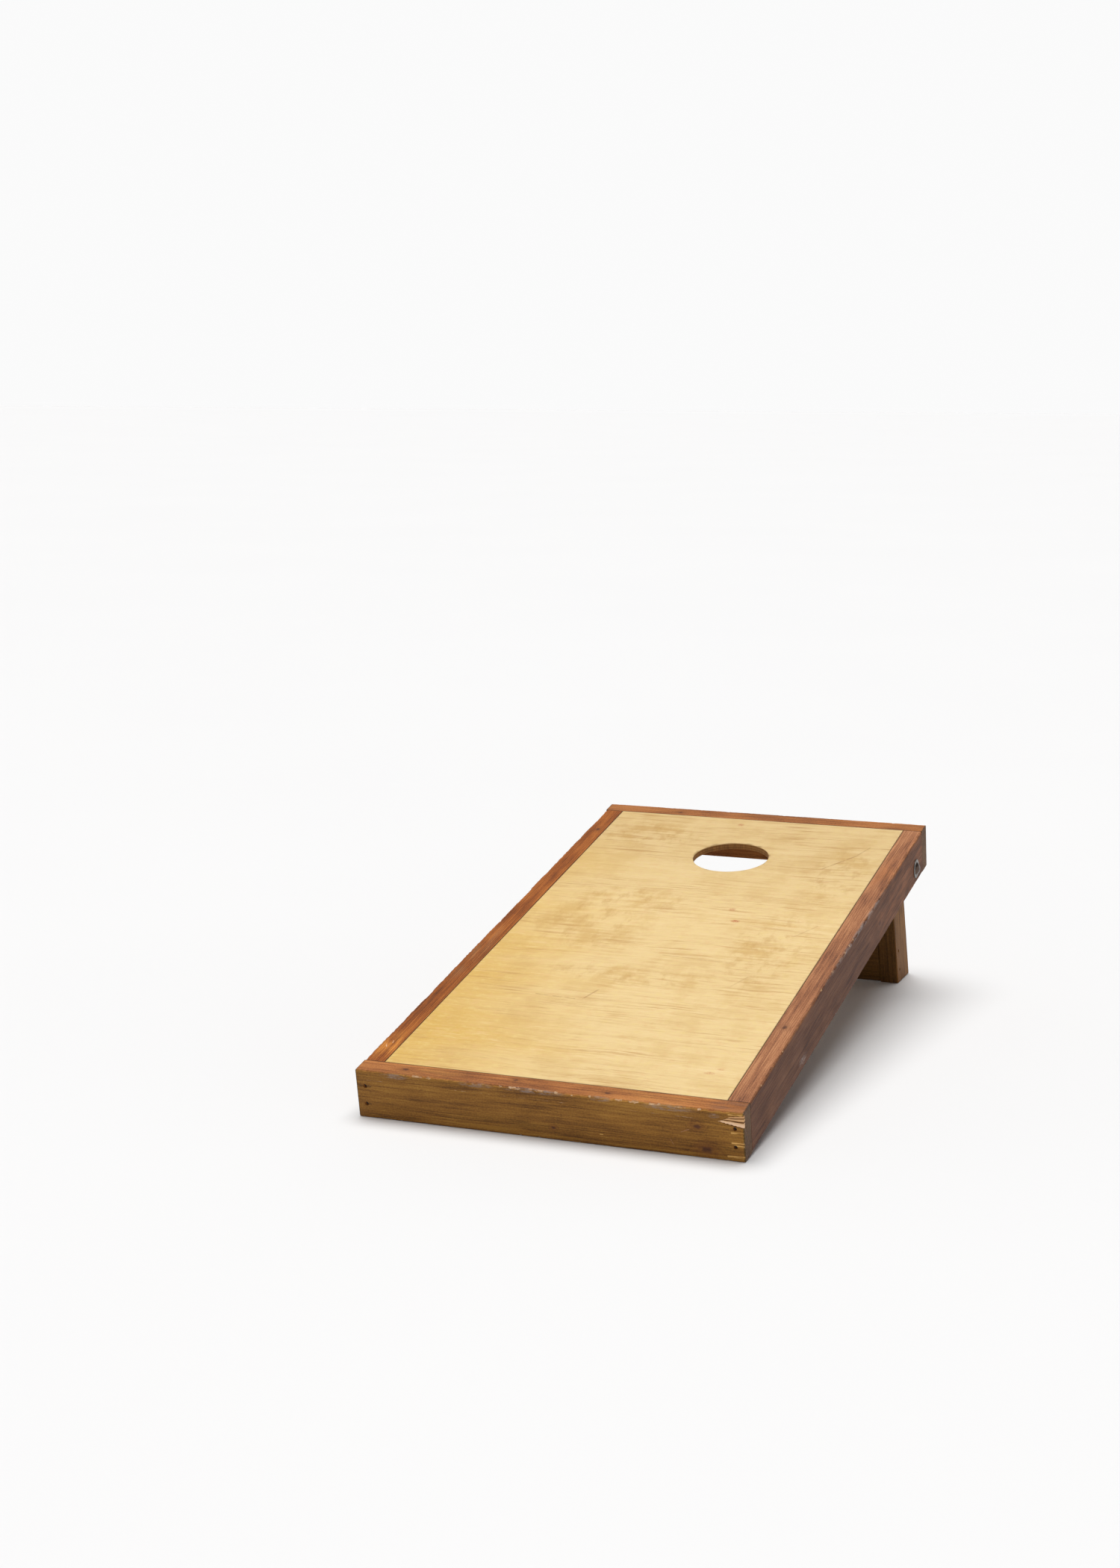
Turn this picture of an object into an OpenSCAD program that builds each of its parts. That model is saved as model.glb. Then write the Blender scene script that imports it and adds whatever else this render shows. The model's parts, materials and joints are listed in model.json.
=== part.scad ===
// Cornhole board: a plywood deck set flush into a frame of planks, standing on a folding pair of legs.
// Millimetres. +X runs across the board, +Y from its low front edge to its high rear edge, +Z up.
// The board is modelled flat in its own axes, then tilted: y = 0 is the front rail's outer face there,
// and z = 0 is the top surface.

/* [Deck] */
// Width of the opening that the deck fills
deck_w = 609.6; // [580:0.1:640]
// Length of the opening that the deck fills
deck_l = 1219.2; // [1180:0.1:1260]
// Thickness of the plywood
deck_t = 12.7; // [12:0.1:13.5]
// Gap left between the deck's edge and the frame, all round
deck_gap = 0.4; // [0.2:0.1:1]
// Diameter of the bag hole
hole_d = 152.4; // [140:0.1:165]
// Distance from the centre of the bag hole to the rear rail's inner face
hole_from_rear = 209.6; // [180:0.1:235]

/* [Frame] */
// Thickness of the planks that make the rails, the legs and the crossbar
plank_t = 38.1; // [36:0.1:40]
// Width of those planks, which is the depth of the frame
plank_w = 88.9; // [87:0.1:90]
// Radius that the planks' long edges are eased to
ease = 2.5; // [1:0.1:4]
// Height of the frame's rear top edge above the ground
rear_height = 330; // [300:1:345]
// Side of the square strips that carry the deck
cleat = 19; // [16:0.5:22]
// Length of the two side strips, which end short of the folded legs
side_cleat_l = 830; // [600:5:840]

/* [Legs] */
// Distance from the pivot to the rear rail's inner face
pivot_from_rear = 58.4; // [58:0.1:62]
// Angle that the open legs lean back beyond square to the deck
rake = 9; // [6:0.5:11]
// Height of the crossbar's lower edge above the ground
crossbar_lift = 1; // [1:0.5:40]

/* [Pivot bolts] */
// Diameter of the bolts
bolt_d = 12.7; // [12:0.1:12.8]
// Length of the bolts under the head
bolt_l = 101.6; // [100:0.1:110]
// Diameter of the domed head
dome_d = 27; // [25:0.5:30]
// Height of the domed head
dome_h = 6.6; // [5:0.1:8]
// Outer diameter of the washers
washer_d = 38; // [34:0.5:40]
// Thickness of the washers
washer_t = 2; // [1.5:0.1:2.5]
// Size of the lock nut across its flats
nut_flats = 19; // [18:0.5:20]
// Height of the lock nut with its collar
nut_h = 15; // [13:0.5:15]

/* [Screws] */
// Length of the screws that hold the rails and the crossbar
long_screw_l = 76; // [70:1:80]
// Diameter of those screws
long_screw_d = 4.2; // [3.5:0.1:5]
// Depth that their heads are sunk below the wood
sink = 5; // [3:0.5:8]
// Distance from the sides of the frame to the screws through its end rails
screw_inset = 16; // [14:0.5:22]
// Diameter of the screws in the strips
short_screw_d = 3.5; // [3:0.1:4]

/* [Hidden] */
$fn = 64;

LEFT = -1;
RIGHT = 1;
SIDES = [LEFT, RIGHT];

// Clearances
fit = 0.1;          // round a screw
shank_fit = 0.2;    // round a bolt in a rail or a washer
run_fit = 0.08;     // round a bolt in the leg that turns on it
side_gap = 0.3;     // between a leg and the washers beside it
stop_gap = 0.4;     // between the legs' stop corners and the deck
over = 5;           // how far a cut runs past a face

// Frame
outer_w = deck_w + 2 * plank_t;
outer_l = deck_l + 2 * plank_t;
rear_inner_y = outer_l - plank_t;
tilt = asin(rear_height / norm([outer_l, plank_w])) - atan(plank_w / outer_l);

// Legs, measured from the pivot: u to the rear and v up along the leg
leg_outer_x = deck_w / 2 - washer_t - side_gap;
leg_inner_x = leg_outer_x - plank_t;
fold_gap = 0.85;    // between the folded legs and the deck
pivot_drop = deck_t + plank_w / 2 + fold_gap;
pivot_y = rear_inner_y - pivot_from_rear;
lean = tilt + rake;
stop_r = 6;         // radius of the stop corner
stop_reach = pivot_drop - deck_t - stop_gap;
leg_top = stop_r + (stop_reach - stop_r - (plank_w / 2 - stop_r) * sin(rake)) / cos(rake);

// Ground: the eased lower edge of the front rail touches it, and so do the legs' cut ends
lift = (plank_w - ease) * cos(tilt) - ease * sin(tilt) + ease;
pivot_height = lift + pivot_y * sin(tilt) - pivot_drop * cos(tilt);
function leg_reach(u) = (pivot_height + u * sin(lean)) / cos(lean);
leg_end_y = pivot_y * cos(tilt) + pivot_drop * sin(tilt)
          + leg_reach(plank_w / 2) * sin(lean) + plank_w / 2 * cos(lean);
front_y = ease * (cos(tilt) + sin(tilt) - 1);
centre_y = (front_y + leg_end_y) / 2;

// Crossbar, flush with the legs' front faces
crossbar_low = (pivot_height - crossbar_lift - plank_w / 2 * sin(lean)) / cos(lean);

// Pivot bolts, measured outward from the middle of the board
head_x = outer_w / 2 + washer_t;
nut_x = leg_inner_x - side_gap - washer_t;
neck = bolt_d + 0.4;    // side of the square neck
neck_l = 10;
neck_merge = 1;         // how far the neck and the shank run into the head
neck_washer_bore = 19;
bolt_chamfer = 1.2;

// Screws: [length, shank diameter, head diameter, head height, side of the square drive]
LONG_SCREW = [long_screw_l, long_screw_d, 7, 3, 2.9];
CLEAT_SCREW = [2 * cleat, short_screw_d, 6.4, 2.6, 2.4];
DECK_SCREW = [cleat + 0.7 * deck_t, short_screw_d, 6.4, 2.6, 2.4];
rim = 0.4;          // thickness of a screw head's rim
drive_depth = 1.8;
frame_screw_drops = [30, 63];
crossbar_screw_rises = [22, 67];
stagger = 30;       // between the screws into the deck and those into the rails
end_cleat_l = 2 * leg_inner_x - 60;
side_cleat_y = plank_t + cleat + 1;
side_screw_margin = 35;
side_screw_step = (side_cleat_l - 2 * side_screw_margin - stagger) / 3;
side_screw_ys = [for (i = [0:3]) side_cleat_y + side_screw_margin + i * side_screw_step];
end_screw_step = 180;
end_screw_xs = [for (i = [-1:1]) i * end_screw_step];

FRAME_BROWN = [0.55, 0.33, 0.20];
LEG_BROWN = [0.50, 0.34, 0.20];
DECK_YELLOW = [0.87, 0.72, 0.45];
PINE = [0.82, 0.66, 0.45];
ZINC = [0.62, 0.62, 0.60];
DARK_STEEL = [0.20, 0.18, 0.17];

// ---- Axes ----

// Puts a board drawn flat where it stands
module in_board() {
    translate([0, -centre_y, lift]) rotate([tilt, 0, 0]) children();
}

// Puts a leg drawn along -Z from its pivot where it stands
module in_legs() {
    in_board() translate([0, pivot_y, -pivot_drop]) rotate([rake, 0, 0]) children();
}

// Puts a bolt or washer drawn along +X on the pivot, on the side given
module on_pivot(side) {
    in_board() translate([0, pivot_y, -pivot_drop]) on_side(side) children();
}

// Keeps what is drawn on the right, or mirrors it to the left
module on_side(side) {
    if (side == LEFT) mirror([1, 0, 0]) children();
    else children();
}

// A cylinder along +X from x to x + l
module rod(d, x, l) {
    translate([x, 0, 0]) rotate([0, 90, 0]) cylinder(d = d, h = l);
}

// ---- Planks ----

// A plank's section, its corner at the origin, with its long edges eased
module eased_rect(w, h) {
    translate([ease, 0]) square([w - 2 * ease, h]);
    translate([0, ease]) square([w, h - 2 * ease]);
    for (x = [ease, w - ease]) for (y = [ease, h - ease]) translate([x, y]) circle(r = ease);
}

// A rail's section: the edge beside the deck, at its top right, stays square
module rail_section() {
    eased_rect(plank_t, plank_w);
    translate([plank_t - ease, plank_w - ease]) square(ease);
}

// ---- Fasteners ----

// A screw's outline, its head's top at 0 and its point at -length, grown by c and open above to top
module screw_profile(kind, c, top) {
    r = kind[1] / 2 + c;
    head_r = kind[2] / 2 + c;
    polygon([[0, top], [head_r, top], [head_r, -rim], [r, -kind[3] - c],
             [r, -kind[0] + kind[1]], [0, -kind[0] - c]]);
}

module screw(kind) {
    difference() {
        rotate_extrude() screw_profile(kind, 0, 0);
        translate([-kind[4] / 2, -kind[4] / 2, -drive_depth]) cube([kind[4], kind[4], 2 * drive_depth]);
    }
}

// The hole that a screw sits in, open for a depth of top above its head
module screw_hole(kind, top) {
    rotate_extrude() screw_profile(kind, fit, top);
}

// The screws through an end rail into the side rails, at y and pointing along +Y
module at_front_screws() {
    for (side = SIDES) for (drop = frame_screw_drops)
        translate([side * (outer_w / 2 - screw_inset), sink, -drop]) rotate([90, 0, 0]) children();
}

module at_rear_screws() {
    translate([0, outer_l, 0]) mirror([0, 1, 0]) at_front_screws() children();
}

// The screws from a side strip into its rail
module at_side_cleat_screws(side) {
    for (y = side_screw_ys) translate([side * (deck_w / 2 - cleat), y + stagger, -deck_t - cleat / 2])
        rotate([0, -side * 90, 0]) children();
}

// The screws from an end strip into its rail
module at_front_cleat_screws() {
    for (x = end_screw_xs) translate([x + stagger, plank_t + cleat, -deck_t - cleat / 2])
        rotate([-90, 0, 0]) children();
}

module at_rear_cleat_screws() {
    translate([0, outer_l, 0]) mirror([0, 1, 0]) at_front_cleat_screws() children();
}

// The screws up through a side strip into the deck
module at_side_deck_screws(side) {
    for (y = side_screw_ys) translate([side * (deck_w - cleat) / 2, y, -deck_t - cleat])
        rotate([180, 0, 0]) children();
}

// The screws up through both end strips into the deck
module at_front_deck_screws() {
    for (x = end_screw_xs) translate([x, plank_t + cleat / 2, -deck_t - cleat])
        rotate([180, 0, 0]) children();
}

module at_rear_deck_screws() {
    translate([0, outer_l, 0]) mirror([0, 1, 0]) at_front_deck_screws() children();
}

// The screws through a leg into the end of the crossbar
module at_crossbar_screws(side) {
    for (rise = crossbar_screw_rises)
        translate([side * (leg_outer_x - sink), (plank_t - plank_w) / 2, rise - crossbar_low])
            rotate([0, side * 90, 0]) children();
}

// A carriage bolt: a turned head and shank, and the square neck under the head
module bolt() {
    translate([head_x, 0, 0]) rotate([0, 90, 0]) rotate_extrude() bolt_outline();
    translate([head_x - neck_l, -neck / 2, -neck / 2]) cube([neck_l + neck_merge, neck, neck]);
}

// Half of the bolt's outline, the underside of its head at 0: the head is a cap of a ball
module bolt_outline() {
    ball_r = (pow(dome_d / 2, 2) + pow(dome_h, 2)) / (2 * dome_h);
    r = bolt_d / 2;
    intersection() {
        translate([0, dome_h - ball_r]) circle(r = ball_r);
        square([dome_d, dome_h + 1]);
    }
    polygon([[0, neck_merge], [r, neck_merge], [r, bolt_chamfer - bolt_l],
             [r - bolt_chamfer, -bolt_l], [0, -bolt_l]]);
}

// A washer whose inner face is at x
module washer(x, bore) {
    difference() {
        rod(washer_d, x, washer_t);
        rod(bore, x - over, washer_t + 2 * over);
    }
}

// A hexagonal nut with a round collar, ending at x on its inner side
module nut() {
    collar = 5;
    difference() {
        union() {
            translate([nut_x - nut_h + collar, 0, 0]) rotate([0, 90, 0])
                cylinder(d = nut_flats / cos(30), h = nut_h - collar, $fn = 6);
            rod(nut_flats - 1.5, nut_x - nut_h, nut_h);
        }
        rod(bolt_d + 2 * fit, nut_x - nut_h - over, nut_h + 2 * over);
    }
}

// ---- Sub-parts ----

module deck() {
    color(DECK_YELLOW) in_board() difference() {
        translate([deck_gap - deck_w / 2, plank_t + deck_gap, -deck_t])
            cube([deck_w - 2 * deck_gap, deck_l - 2 * deck_gap, deck_t]);
        translate([0, rear_inner_y - hole_from_rear, -deck_t - over])
            cylinder(d = hole_d, h = deck_t + 2 * over);
        at_front_deck_screws() screw_hole(DECK_SCREW, 0);
        at_rear_deck_screws() screw_hole(DECK_SCREW, 0);
        for (side = SIDES) at_side_deck_screws(side) screw_hole(DECK_SCREW, 0);
    }
}

module front_rail() {
    color(FRAME_BROWN) in_board() end_rail();
}

module rear_rail() {
    color(FRAME_BROWN) in_board() translate([0, outer_l, 0]) mirror([0, 1, 0]) end_rail();
}

// A front rail, and mirrored the rear one
module end_rail() {
    difference() {
        translate([-outer_w / 2, 0, -plank_w]) rotate([90, 0, 90]) linear_extrude(outer_w)
            rail_section();
        at_front_screws() screw_hole(LONG_SCREW, sink + over);
        at_front_cleat_screws() screw_hole(CLEAT_SCREW, 0);
    }
}

module left_side_rail() {
    color(FRAME_BROWN) in_board() side_rail(LEFT);
}

module right_side_rail() {
    color(FRAME_BROWN) in_board() side_rail(RIGHT);
}

module side_rail(side) {
    difference() {
        on_side(side) translate([outer_w / 2, rear_inner_y, -plank_w]) rotate([90, 0, 0])
            linear_extrude(deck_l) mirror([1, 0]) rail_section();
        translate([0, pivot_y, -pivot_drop]) on_side(side) {
            rod(bolt_d + 2 * shank_fit, deck_w / 2 - over, plank_t + 2 * over);
            translate([head_x - neck_l - fit, -neck / 2 - fit, -neck / 2 - fit])
                cube([neck_l + over, neck + 2 * fit, neck + 2 * fit]);
        }
        at_front_screws() screw_hole(LONG_SCREW, 0);
        at_rear_screws() screw_hole(LONG_SCREW, 0);
        at_side_cleat_screws(side) screw_hole(CLEAT_SCREW, 0);
    }
}

module front_cleat() {
    color(PINE) in_board() end_cleat();
}

module rear_cleat() {
    color(PINE) in_board() translate([0, outer_l, 0]) mirror([0, 1, 0]) end_cleat();
}

module end_cleat() {
    difference() {
        translate([-end_cleat_l / 2, plank_t, -deck_t - cleat]) cube([end_cleat_l, cleat, cleat]);
        at_front_cleat_screws() screw_hole(CLEAT_SCREW, over);
        at_front_deck_screws() screw_hole(DECK_SCREW, over);
    }
}

module left_cleat() {
    color(PINE) in_board() side_cleat(LEFT);
}

module right_cleat() {
    color(PINE) in_board() side_cleat(RIGHT);
}

module side_cleat(side) {
    difference() {
        on_side(side) translate([deck_w / 2 - cleat, side_cleat_y, -deck_t - cleat])
            cube([cleat, side_cleat_l, cleat]);
        at_side_cleat_screws(side) screw_hole(CLEAT_SCREW, over);
        at_side_deck_screws(side) screw_hole(DECK_SCREW, over);
    }
}

module front_rail_screws() {
    color(DARK_STEEL) in_board() at_front_screws() screw(LONG_SCREW);
}

module rear_rail_screws() {
    color(DARK_STEEL) in_board() at_rear_screws() screw(LONG_SCREW);
}

module cleat_screws() {
    color(ZINC) in_board() {
        at_front_cleat_screws() screw(CLEAT_SCREW);
        at_rear_cleat_screws() screw(CLEAT_SCREW);
        for (side = SIDES) at_side_cleat_screws(side) screw(CLEAT_SCREW);
    }
}

module deck_screws() {
    color(ZINC) in_board() {
        at_front_deck_screws() screw(DECK_SCREW);
        at_rear_deck_screws() screw(DECK_SCREW);
        for (side = SIDES) at_side_deck_screws(side) screw(DECK_SCREW);
    }
}

module left_pivot_bolt() {
    color(DARK_STEEL) on_pivot(LEFT) bolt();
}

module right_pivot_bolt() {
    color(DARK_STEEL) on_pivot(RIGHT) bolt();
}

module left_head_washer() {
    color(ZINC) on_pivot(LEFT) washer(outer_w / 2, neck_washer_bore);
}

module right_head_washer() {
    color(ZINC) on_pivot(RIGHT) washer(outer_w / 2, neck_washer_bore);
}

module left_spacer_washer() {
    color(ZINC) on_pivot(LEFT) washer(deck_w / 2 - washer_t, bolt_d + 2 * shank_fit);
}

module right_spacer_washer() {
    color(ZINC) on_pivot(RIGHT) washer(deck_w / 2 - washer_t, bolt_d + 2 * shank_fit);
}

module left_nut_washer() {
    color(ZINC) on_pivot(LEFT) washer(nut_x, bolt_d + 2 * shank_fit);
}

module right_nut_washer() {
    color(ZINC) on_pivot(RIGHT) washer(nut_x, bolt_d + 2 * shank_fit);
}

module left_lock_nut() {
    color(ZINC) on_pivot(LEFT) nut();
}

module right_lock_nut() {
    color(ZINC) on_pivot(RIGHT) nut();
}

// What is cut away to round the top left corner of a shape, at the origin, to a radius of r
module corner_waste(r) {
    difference() {
        translate([-over, -r]) square(r + over);
        translate([r, -r]) circle(r = r);
    }
}

// A leg seen from its side: its top is rounded over in front, where it swings past the deck, and has
// a small radius at the stop corner, and its foot is cut level with the ground
module leg_outline() {
    half = plank_w / 2;
    difference() {
        polygon([[-half, leg_top], [half, leg_top], [half, -leg_reach(half)], [-half, -leg_reach(-half)]]);
        translate([-half, leg_top]) corner_waste(leg_top);
        translate([half, leg_top]) mirror([1, 0]) corner_waste(stop_r);
    }
}

module leg(side) {
    long = leg_reach(plank_w / 2) + leg_top + 2 * over;
    difference() {
        intersection() {
            on_side(side) translate([leg_inner_x, 0, 0]) rotate([90, 0, 90])
                linear_extrude(plank_t) leg_outline();
            on_side(side) translate([leg_inner_x, -plank_w / 2, leg_top + over - long])
                linear_extrude(long) eased_rect(plank_t, plank_w);
        }
        on_side(side) rod(bolt_d + 2 * run_fit, leg_inner_x - over, plank_t + 2 * over);
        at_crossbar_screws(side) screw_hole(LONG_SCREW, sink + over);
    }
}

module left_leg() {
    color(LEG_BROWN) in_legs() leg(LEFT);
}

module right_leg() {
    color(LEG_BROWN) in_legs() leg(RIGHT);
}

module crossbar() {
    color(LEG_BROWN) in_legs() difference() {
        translate([-leg_inner_x, -plank_w / 2, -crossbar_low]) rotate([90, 0, 90])
            linear_extrude(2 * leg_inner_x) eased_rect(plank_t, plank_w);
        for (side = SIDES) at_crossbar_screws(side) screw_hole(LONG_SCREW, 0);
    }
}

module crossbar_screws() {
    color(DARK_STEEL) in_legs() for (side = SIDES) at_crossbar_screws(side) screw(LONG_SCREW);
}

deck();
front_rail();
rear_rail();
left_side_rail();
right_side_rail();
front_cleat();
rear_cleat();
left_cleat();
right_cleat();
front_rail_screws();
rear_rail_screws();
cleat_screws();
deck_screws();
left_pivot_bolt();
right_pivot_bolt();
left_head_washer();
right_head_washer();
left_spacer_washer();
right_spacer_washer();
left_nut_washer();
right_nut_washer();
left_lock_nut();
right_lock_nut();
left_leg();
right_leg();
crossbar();
crossbar_screws();
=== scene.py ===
"""Looks for the cornhole board: worn, stained planks, a varnished plywood deck and its hardware.

Metres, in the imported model's own frame. The board's pieces are made in "board axes": x across, y up the
deck from the front rail's outer face, z out of the deck, with z = 0 on its top surface. The folding legs
are made in "leg axes": x across, y to the rear, z up along a leg, from the pivot.
"""
import json
import math

import bmesh
import bpy
import numpy as np
from mathutils import Matrix, Vector


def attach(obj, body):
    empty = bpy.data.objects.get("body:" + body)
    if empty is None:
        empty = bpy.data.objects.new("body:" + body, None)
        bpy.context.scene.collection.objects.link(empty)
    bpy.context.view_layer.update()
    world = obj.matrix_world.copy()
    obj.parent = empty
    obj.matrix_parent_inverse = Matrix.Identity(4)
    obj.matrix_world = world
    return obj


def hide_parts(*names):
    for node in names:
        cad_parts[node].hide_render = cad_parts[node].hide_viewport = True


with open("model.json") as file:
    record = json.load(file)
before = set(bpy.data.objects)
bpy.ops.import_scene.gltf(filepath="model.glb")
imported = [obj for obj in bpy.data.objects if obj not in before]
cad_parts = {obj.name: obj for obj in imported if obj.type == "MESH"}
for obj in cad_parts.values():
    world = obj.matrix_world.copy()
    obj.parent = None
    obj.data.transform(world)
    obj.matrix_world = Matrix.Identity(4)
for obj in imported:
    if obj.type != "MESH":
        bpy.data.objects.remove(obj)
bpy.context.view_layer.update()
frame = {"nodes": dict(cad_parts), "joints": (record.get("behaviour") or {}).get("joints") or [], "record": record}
MM = 0.001

# ---- Axes ----

MOUNTS = {m["name"]: m for m in frame["record"]["mounts"]}
FOLD = next(j for j in frame["joints"] if j["name"] == "leg_fold")

deck_up = Vector(MOUNTS["bag_hole"]["axis"])
tilt = math.atan2(-deck_up.y, deck_up.z)
rake = math.radians(FOLD["range_deg"][1] - 90)


def moved_by(points, matrix):
    """Points after a matrix."""
    place = np.array(matrix)
    return np.asarray(points) @ place[:3, :3].T + place[:3, 3]


def turned_points(node, axes):
    """A CAD node's points in other axes."""
    return moved_by([v.co for v in frame["nodes"][node].data.vertices], axes.inverted())


def turned_box(node, axes):
    """The lowest and highest corners of a CAD node in other axes."""
    points = turned_points(node, axes)
    return points.min(0), points.max(0)


TURN = Matrix.Rotation(tilt, 4, "X")
rail_low, rail_high = turned_box("front_rail", TURN)
BOARD = TURN @ Matrix.Translation((0, rail_low[1], rail_high[2]))
PIVOT = Matrix.Translation(FOLD["pos_m"]) @ TURN
LEGS = Matrix.Translation(FOLD["pos_m"]) @ Matrix.Rotation(tilt + rake, 4, "X")
DECK_LOW, DECK_HIGH = turned_box("deck", BOARD)
DECK_T = -DECK_LOW[2]
DECK_MIDDLE, DECK_HALF = (DECK_LOW + DECK_HIGH) / 2, (DECK_HIGH - DECK_LOW) / 2
HOLE_R = MOUNTS["bag_hole"]["dims"]["r_mm"] * MM
HOLE_Y = (BOARD.inverted() @ Vector(MOUNTS["bag_hole"]["pos_m"])).y
BOARD_W = np.ptp(turned_points("front_rail", BOARD)[:, 0])
BOARD_L = turned_box("rear_rail", BOARD)[1][1]

# ---- Small helpers for shapes ----

# Places along a thread's turn, and along a rounded corner. Degrees along a small round
STEPS_PER_TURN, ARC_STEPS = 6, 7
BEND = (22.5, 45, 67.5, 90)


def smooth_step(value, low, high):
    """0 below low and 1 above high, with a smooth turn between."""
    t = np.clip((value - low) / (high - low), 0, 1)
    return t * t * (3 - 2 * t)


def waves(points, size, seed):
    """A smooth random value from -1 to 1 at each point, which turns over about every size."""
    rng = np.random.default_rng(seed)
    count = 28
    ways = rng.normal(size=(count, points.shape[1]))
    ways /= np.linalg.norm(ways, axis=1, keepdims=True)
    lengths = size * rng.uniform(0.7, 2.2, count)
    angles = points @ (ways * (2 * math.pi / lengths)[:, None]).T + rng.uniform(0, 2 * math.pi, count)
    return np.clip(np.sin(angles).sum(1) / math.sqrt(count) * 0.8, -1, 1)


def in_scene(name, data):
    """A new object in the scene."""
    made = bpy.data.objects.new(name, data)
    bpy.context.scene.collection.objects.link(made)
    return made


def new_piece(name, points, faces, axes, flat_faces=()):
    """An object from points given in some axes. The faces named in flat_faces are shaded flat."""
    mesh = bpy.data.meshes.new(name)
    mesh.from_pydata([tuple(p) for p in points], [], faces)
    shape = bmesh.new()
    shape.from_mesh(mesh)
    bmesh.ops.recalc_face_normals(shape, faces=shape.faces)
    shape.to_mesh(mesh)
    shape.free()
    smooth = np.ones(len(mesh.polygons), bool)
    smooth[list(flat_faces)] = False
    mesh.polygons.foreach_set("use_smooth", smooth)
    mesh.transform(axes)
    return in_scene(name, mesh)


def paint(piece, name, values, kind="FLOAT", field="value"):
    """Keeps a number, or a vector, for each point of a piece, for its material."""
    layer = piece.data.attributes.new(name, kind, "POINT")
    layer.data.foreach_set(field, np.asarray(values, np.float32).ravel())


def paint_grain(piece, axes):
    """Keeps each point's place in a plank's own axes, for its material."""
    places = moved_by([v.co for v in piece.data.vertices], axes.inverted())
    paint(piece, "grain", places, "FLOAT_VECTOR", "vector")


def cut(piece, cutter):
    """Cuts one object's shape out of another's, and drops the cutter."""
    change = piece.modifiers.new("cut", "BOOLEAN")
    change.operation = "DIFFERENCE"
    change.solver = "EXACT"
    change.object = cutter
    done = piece.evaluated_get(bpy.context.evaluated_depsgraph_get())
    mesh = bpy.data.meshes.new_from_object(done)
    old = piece.data
    piece.modifiers.clear()
    piece.data = mesh
    bpy.data.meshes.remove(old)
    bpy.data.objects.remove(cutter)


def dress(piece, body, slot, material, *nodes):
    """Puts a piece on its body, in place of the CAD nodes named, in its material. slot is not used."""
    piece.data.materials.clear()
    piece.data.materials.append(material)
    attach(piece, body)
    if nodes:
        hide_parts(*nodes)


def quads_between(rings, around):
    """The faces of a tube of rings, each of the same number of points."""
    return [[i * around + j, i * around + k, (i + 1) * around + k, (i + 1) * around + j]
            for i in range(rings - 1) for j, k in ((j, (j + 1) % around) for j in range(around))]


def turned(profile, segments, reshape=None, closed=False):
    """Points and faces of a solid turned about Z, from (z, radius) pairs. reshape(z, radius, angles) gives a
    ring's radii. The ends are capped, unless the profile is a closed loop."""
    angle = np.arange(segments) * 2 * math.pi / segments
    rings = []
    for z, r in profile:
        radius = reshape(z, r, angle) if reshape else np.full(segments, float(r))
        rings.append(np.stack([radius * np.cos(angle), radius * np.sin(angle), np.full(segments, z)], 1))
    faces = quads_between(len(rings), segments)
    last = (len(rings) - 1) * segments
    if closed:
        faces += [[last + i, last + (i + 1) % segments, (i + 1) % segments, i] for i in range(segments)]
    else:
        faces += [list(range(segments)), list(range(last, last + segments))]
    return np.concatenate(rings), faces


def threaded(profile, segments, first, last, pitch, depth):
    """Points and faces of a solid turned about Z, with a helical groove down from z = first to z = last."""
    steps = round((first - last) / pitch * STEPS_PER_TURN)
    kept = [(z, r) for z, r in profile if not last <= z <= first]
    heights, radii = zip(*sorted(profile))
    places = [first + (last - first) * i / steps for i in range(steps + 1)]
    added = [(z, float(np.interp(z, heights, radii))) for z in places]

    def groove(z, r, angle):
        turn = (z / pitch - angle / (2 * math.pi)) % 1
        fade = min(1, abs(z - first) / pitch) * (last <= z <= first)
        return r - min(depth, 0.6 * r) * fade * np.clip(1.3 - 2.6 * np.abs(turn - 0.5), 0, 1)

    return turned(sorted(kept + added, key=lambda station: -station[0]), segments, groove)


def placed_together(shapes):
    """Joins (points, faces, matrix) shapes into one list of points and one of faces."""
    points, faces, start = [], [], 0
    for own_points, own_faces, matrix in shapes:
        points.append(moved_by(own_points, matrix))
        faces += [[start + i for i in face] for face in own_faces]
        start += len(own_points)
    return np.concatenate(points), faces


# ---- Planks ----

# A plank's four long edges are, in turn, its top outer, low outer, low inner and top inner one
TOP_OUTER, LOW_OUTER = 0, 1
DOWN = Vector((0, 0, -1))


def dress_wood(piece, body, slot, wood, node, axes, own, *screw_nodes):
    """Cuts the screw holes in a piece of wood, and dresses it. own are the axes of its grain."""
    for screw_node in screw_nodes:
        cut(piece, screw_holes(screw_node, axes))
    paint_grain(piece, own)
    dress(piece, body, slot, wood, node)


def plank_axes(node, axes, out):
    """A plank's own axes, from its middle: x along it, y down from its top edge, z in from its outer face.
    Gives those axes, with the plank's length, width and thickness."""
    low, high = turned_box(node, axes)
    inward = -Vector(out)
    along = DOWN.cross(inward)
    corner = Vector(low[i] if along[i] + DOWN[i] + inward[i] > 0 else high[i] for i in range(3))
    length, width, depth = (abs(Vector(high - low).dot(v)) for v in (along, DOWN, inward))
    own = Matrix((along, DOWN, inward)).transposed().to_4x4()
    own.translation = corner + along * length / 2
    return axes @ own, length, width, depth


def plank_corners(width, depth):
    return np.array([(0, 0), (width, 0), (width, depth), (0, depth)])


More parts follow.
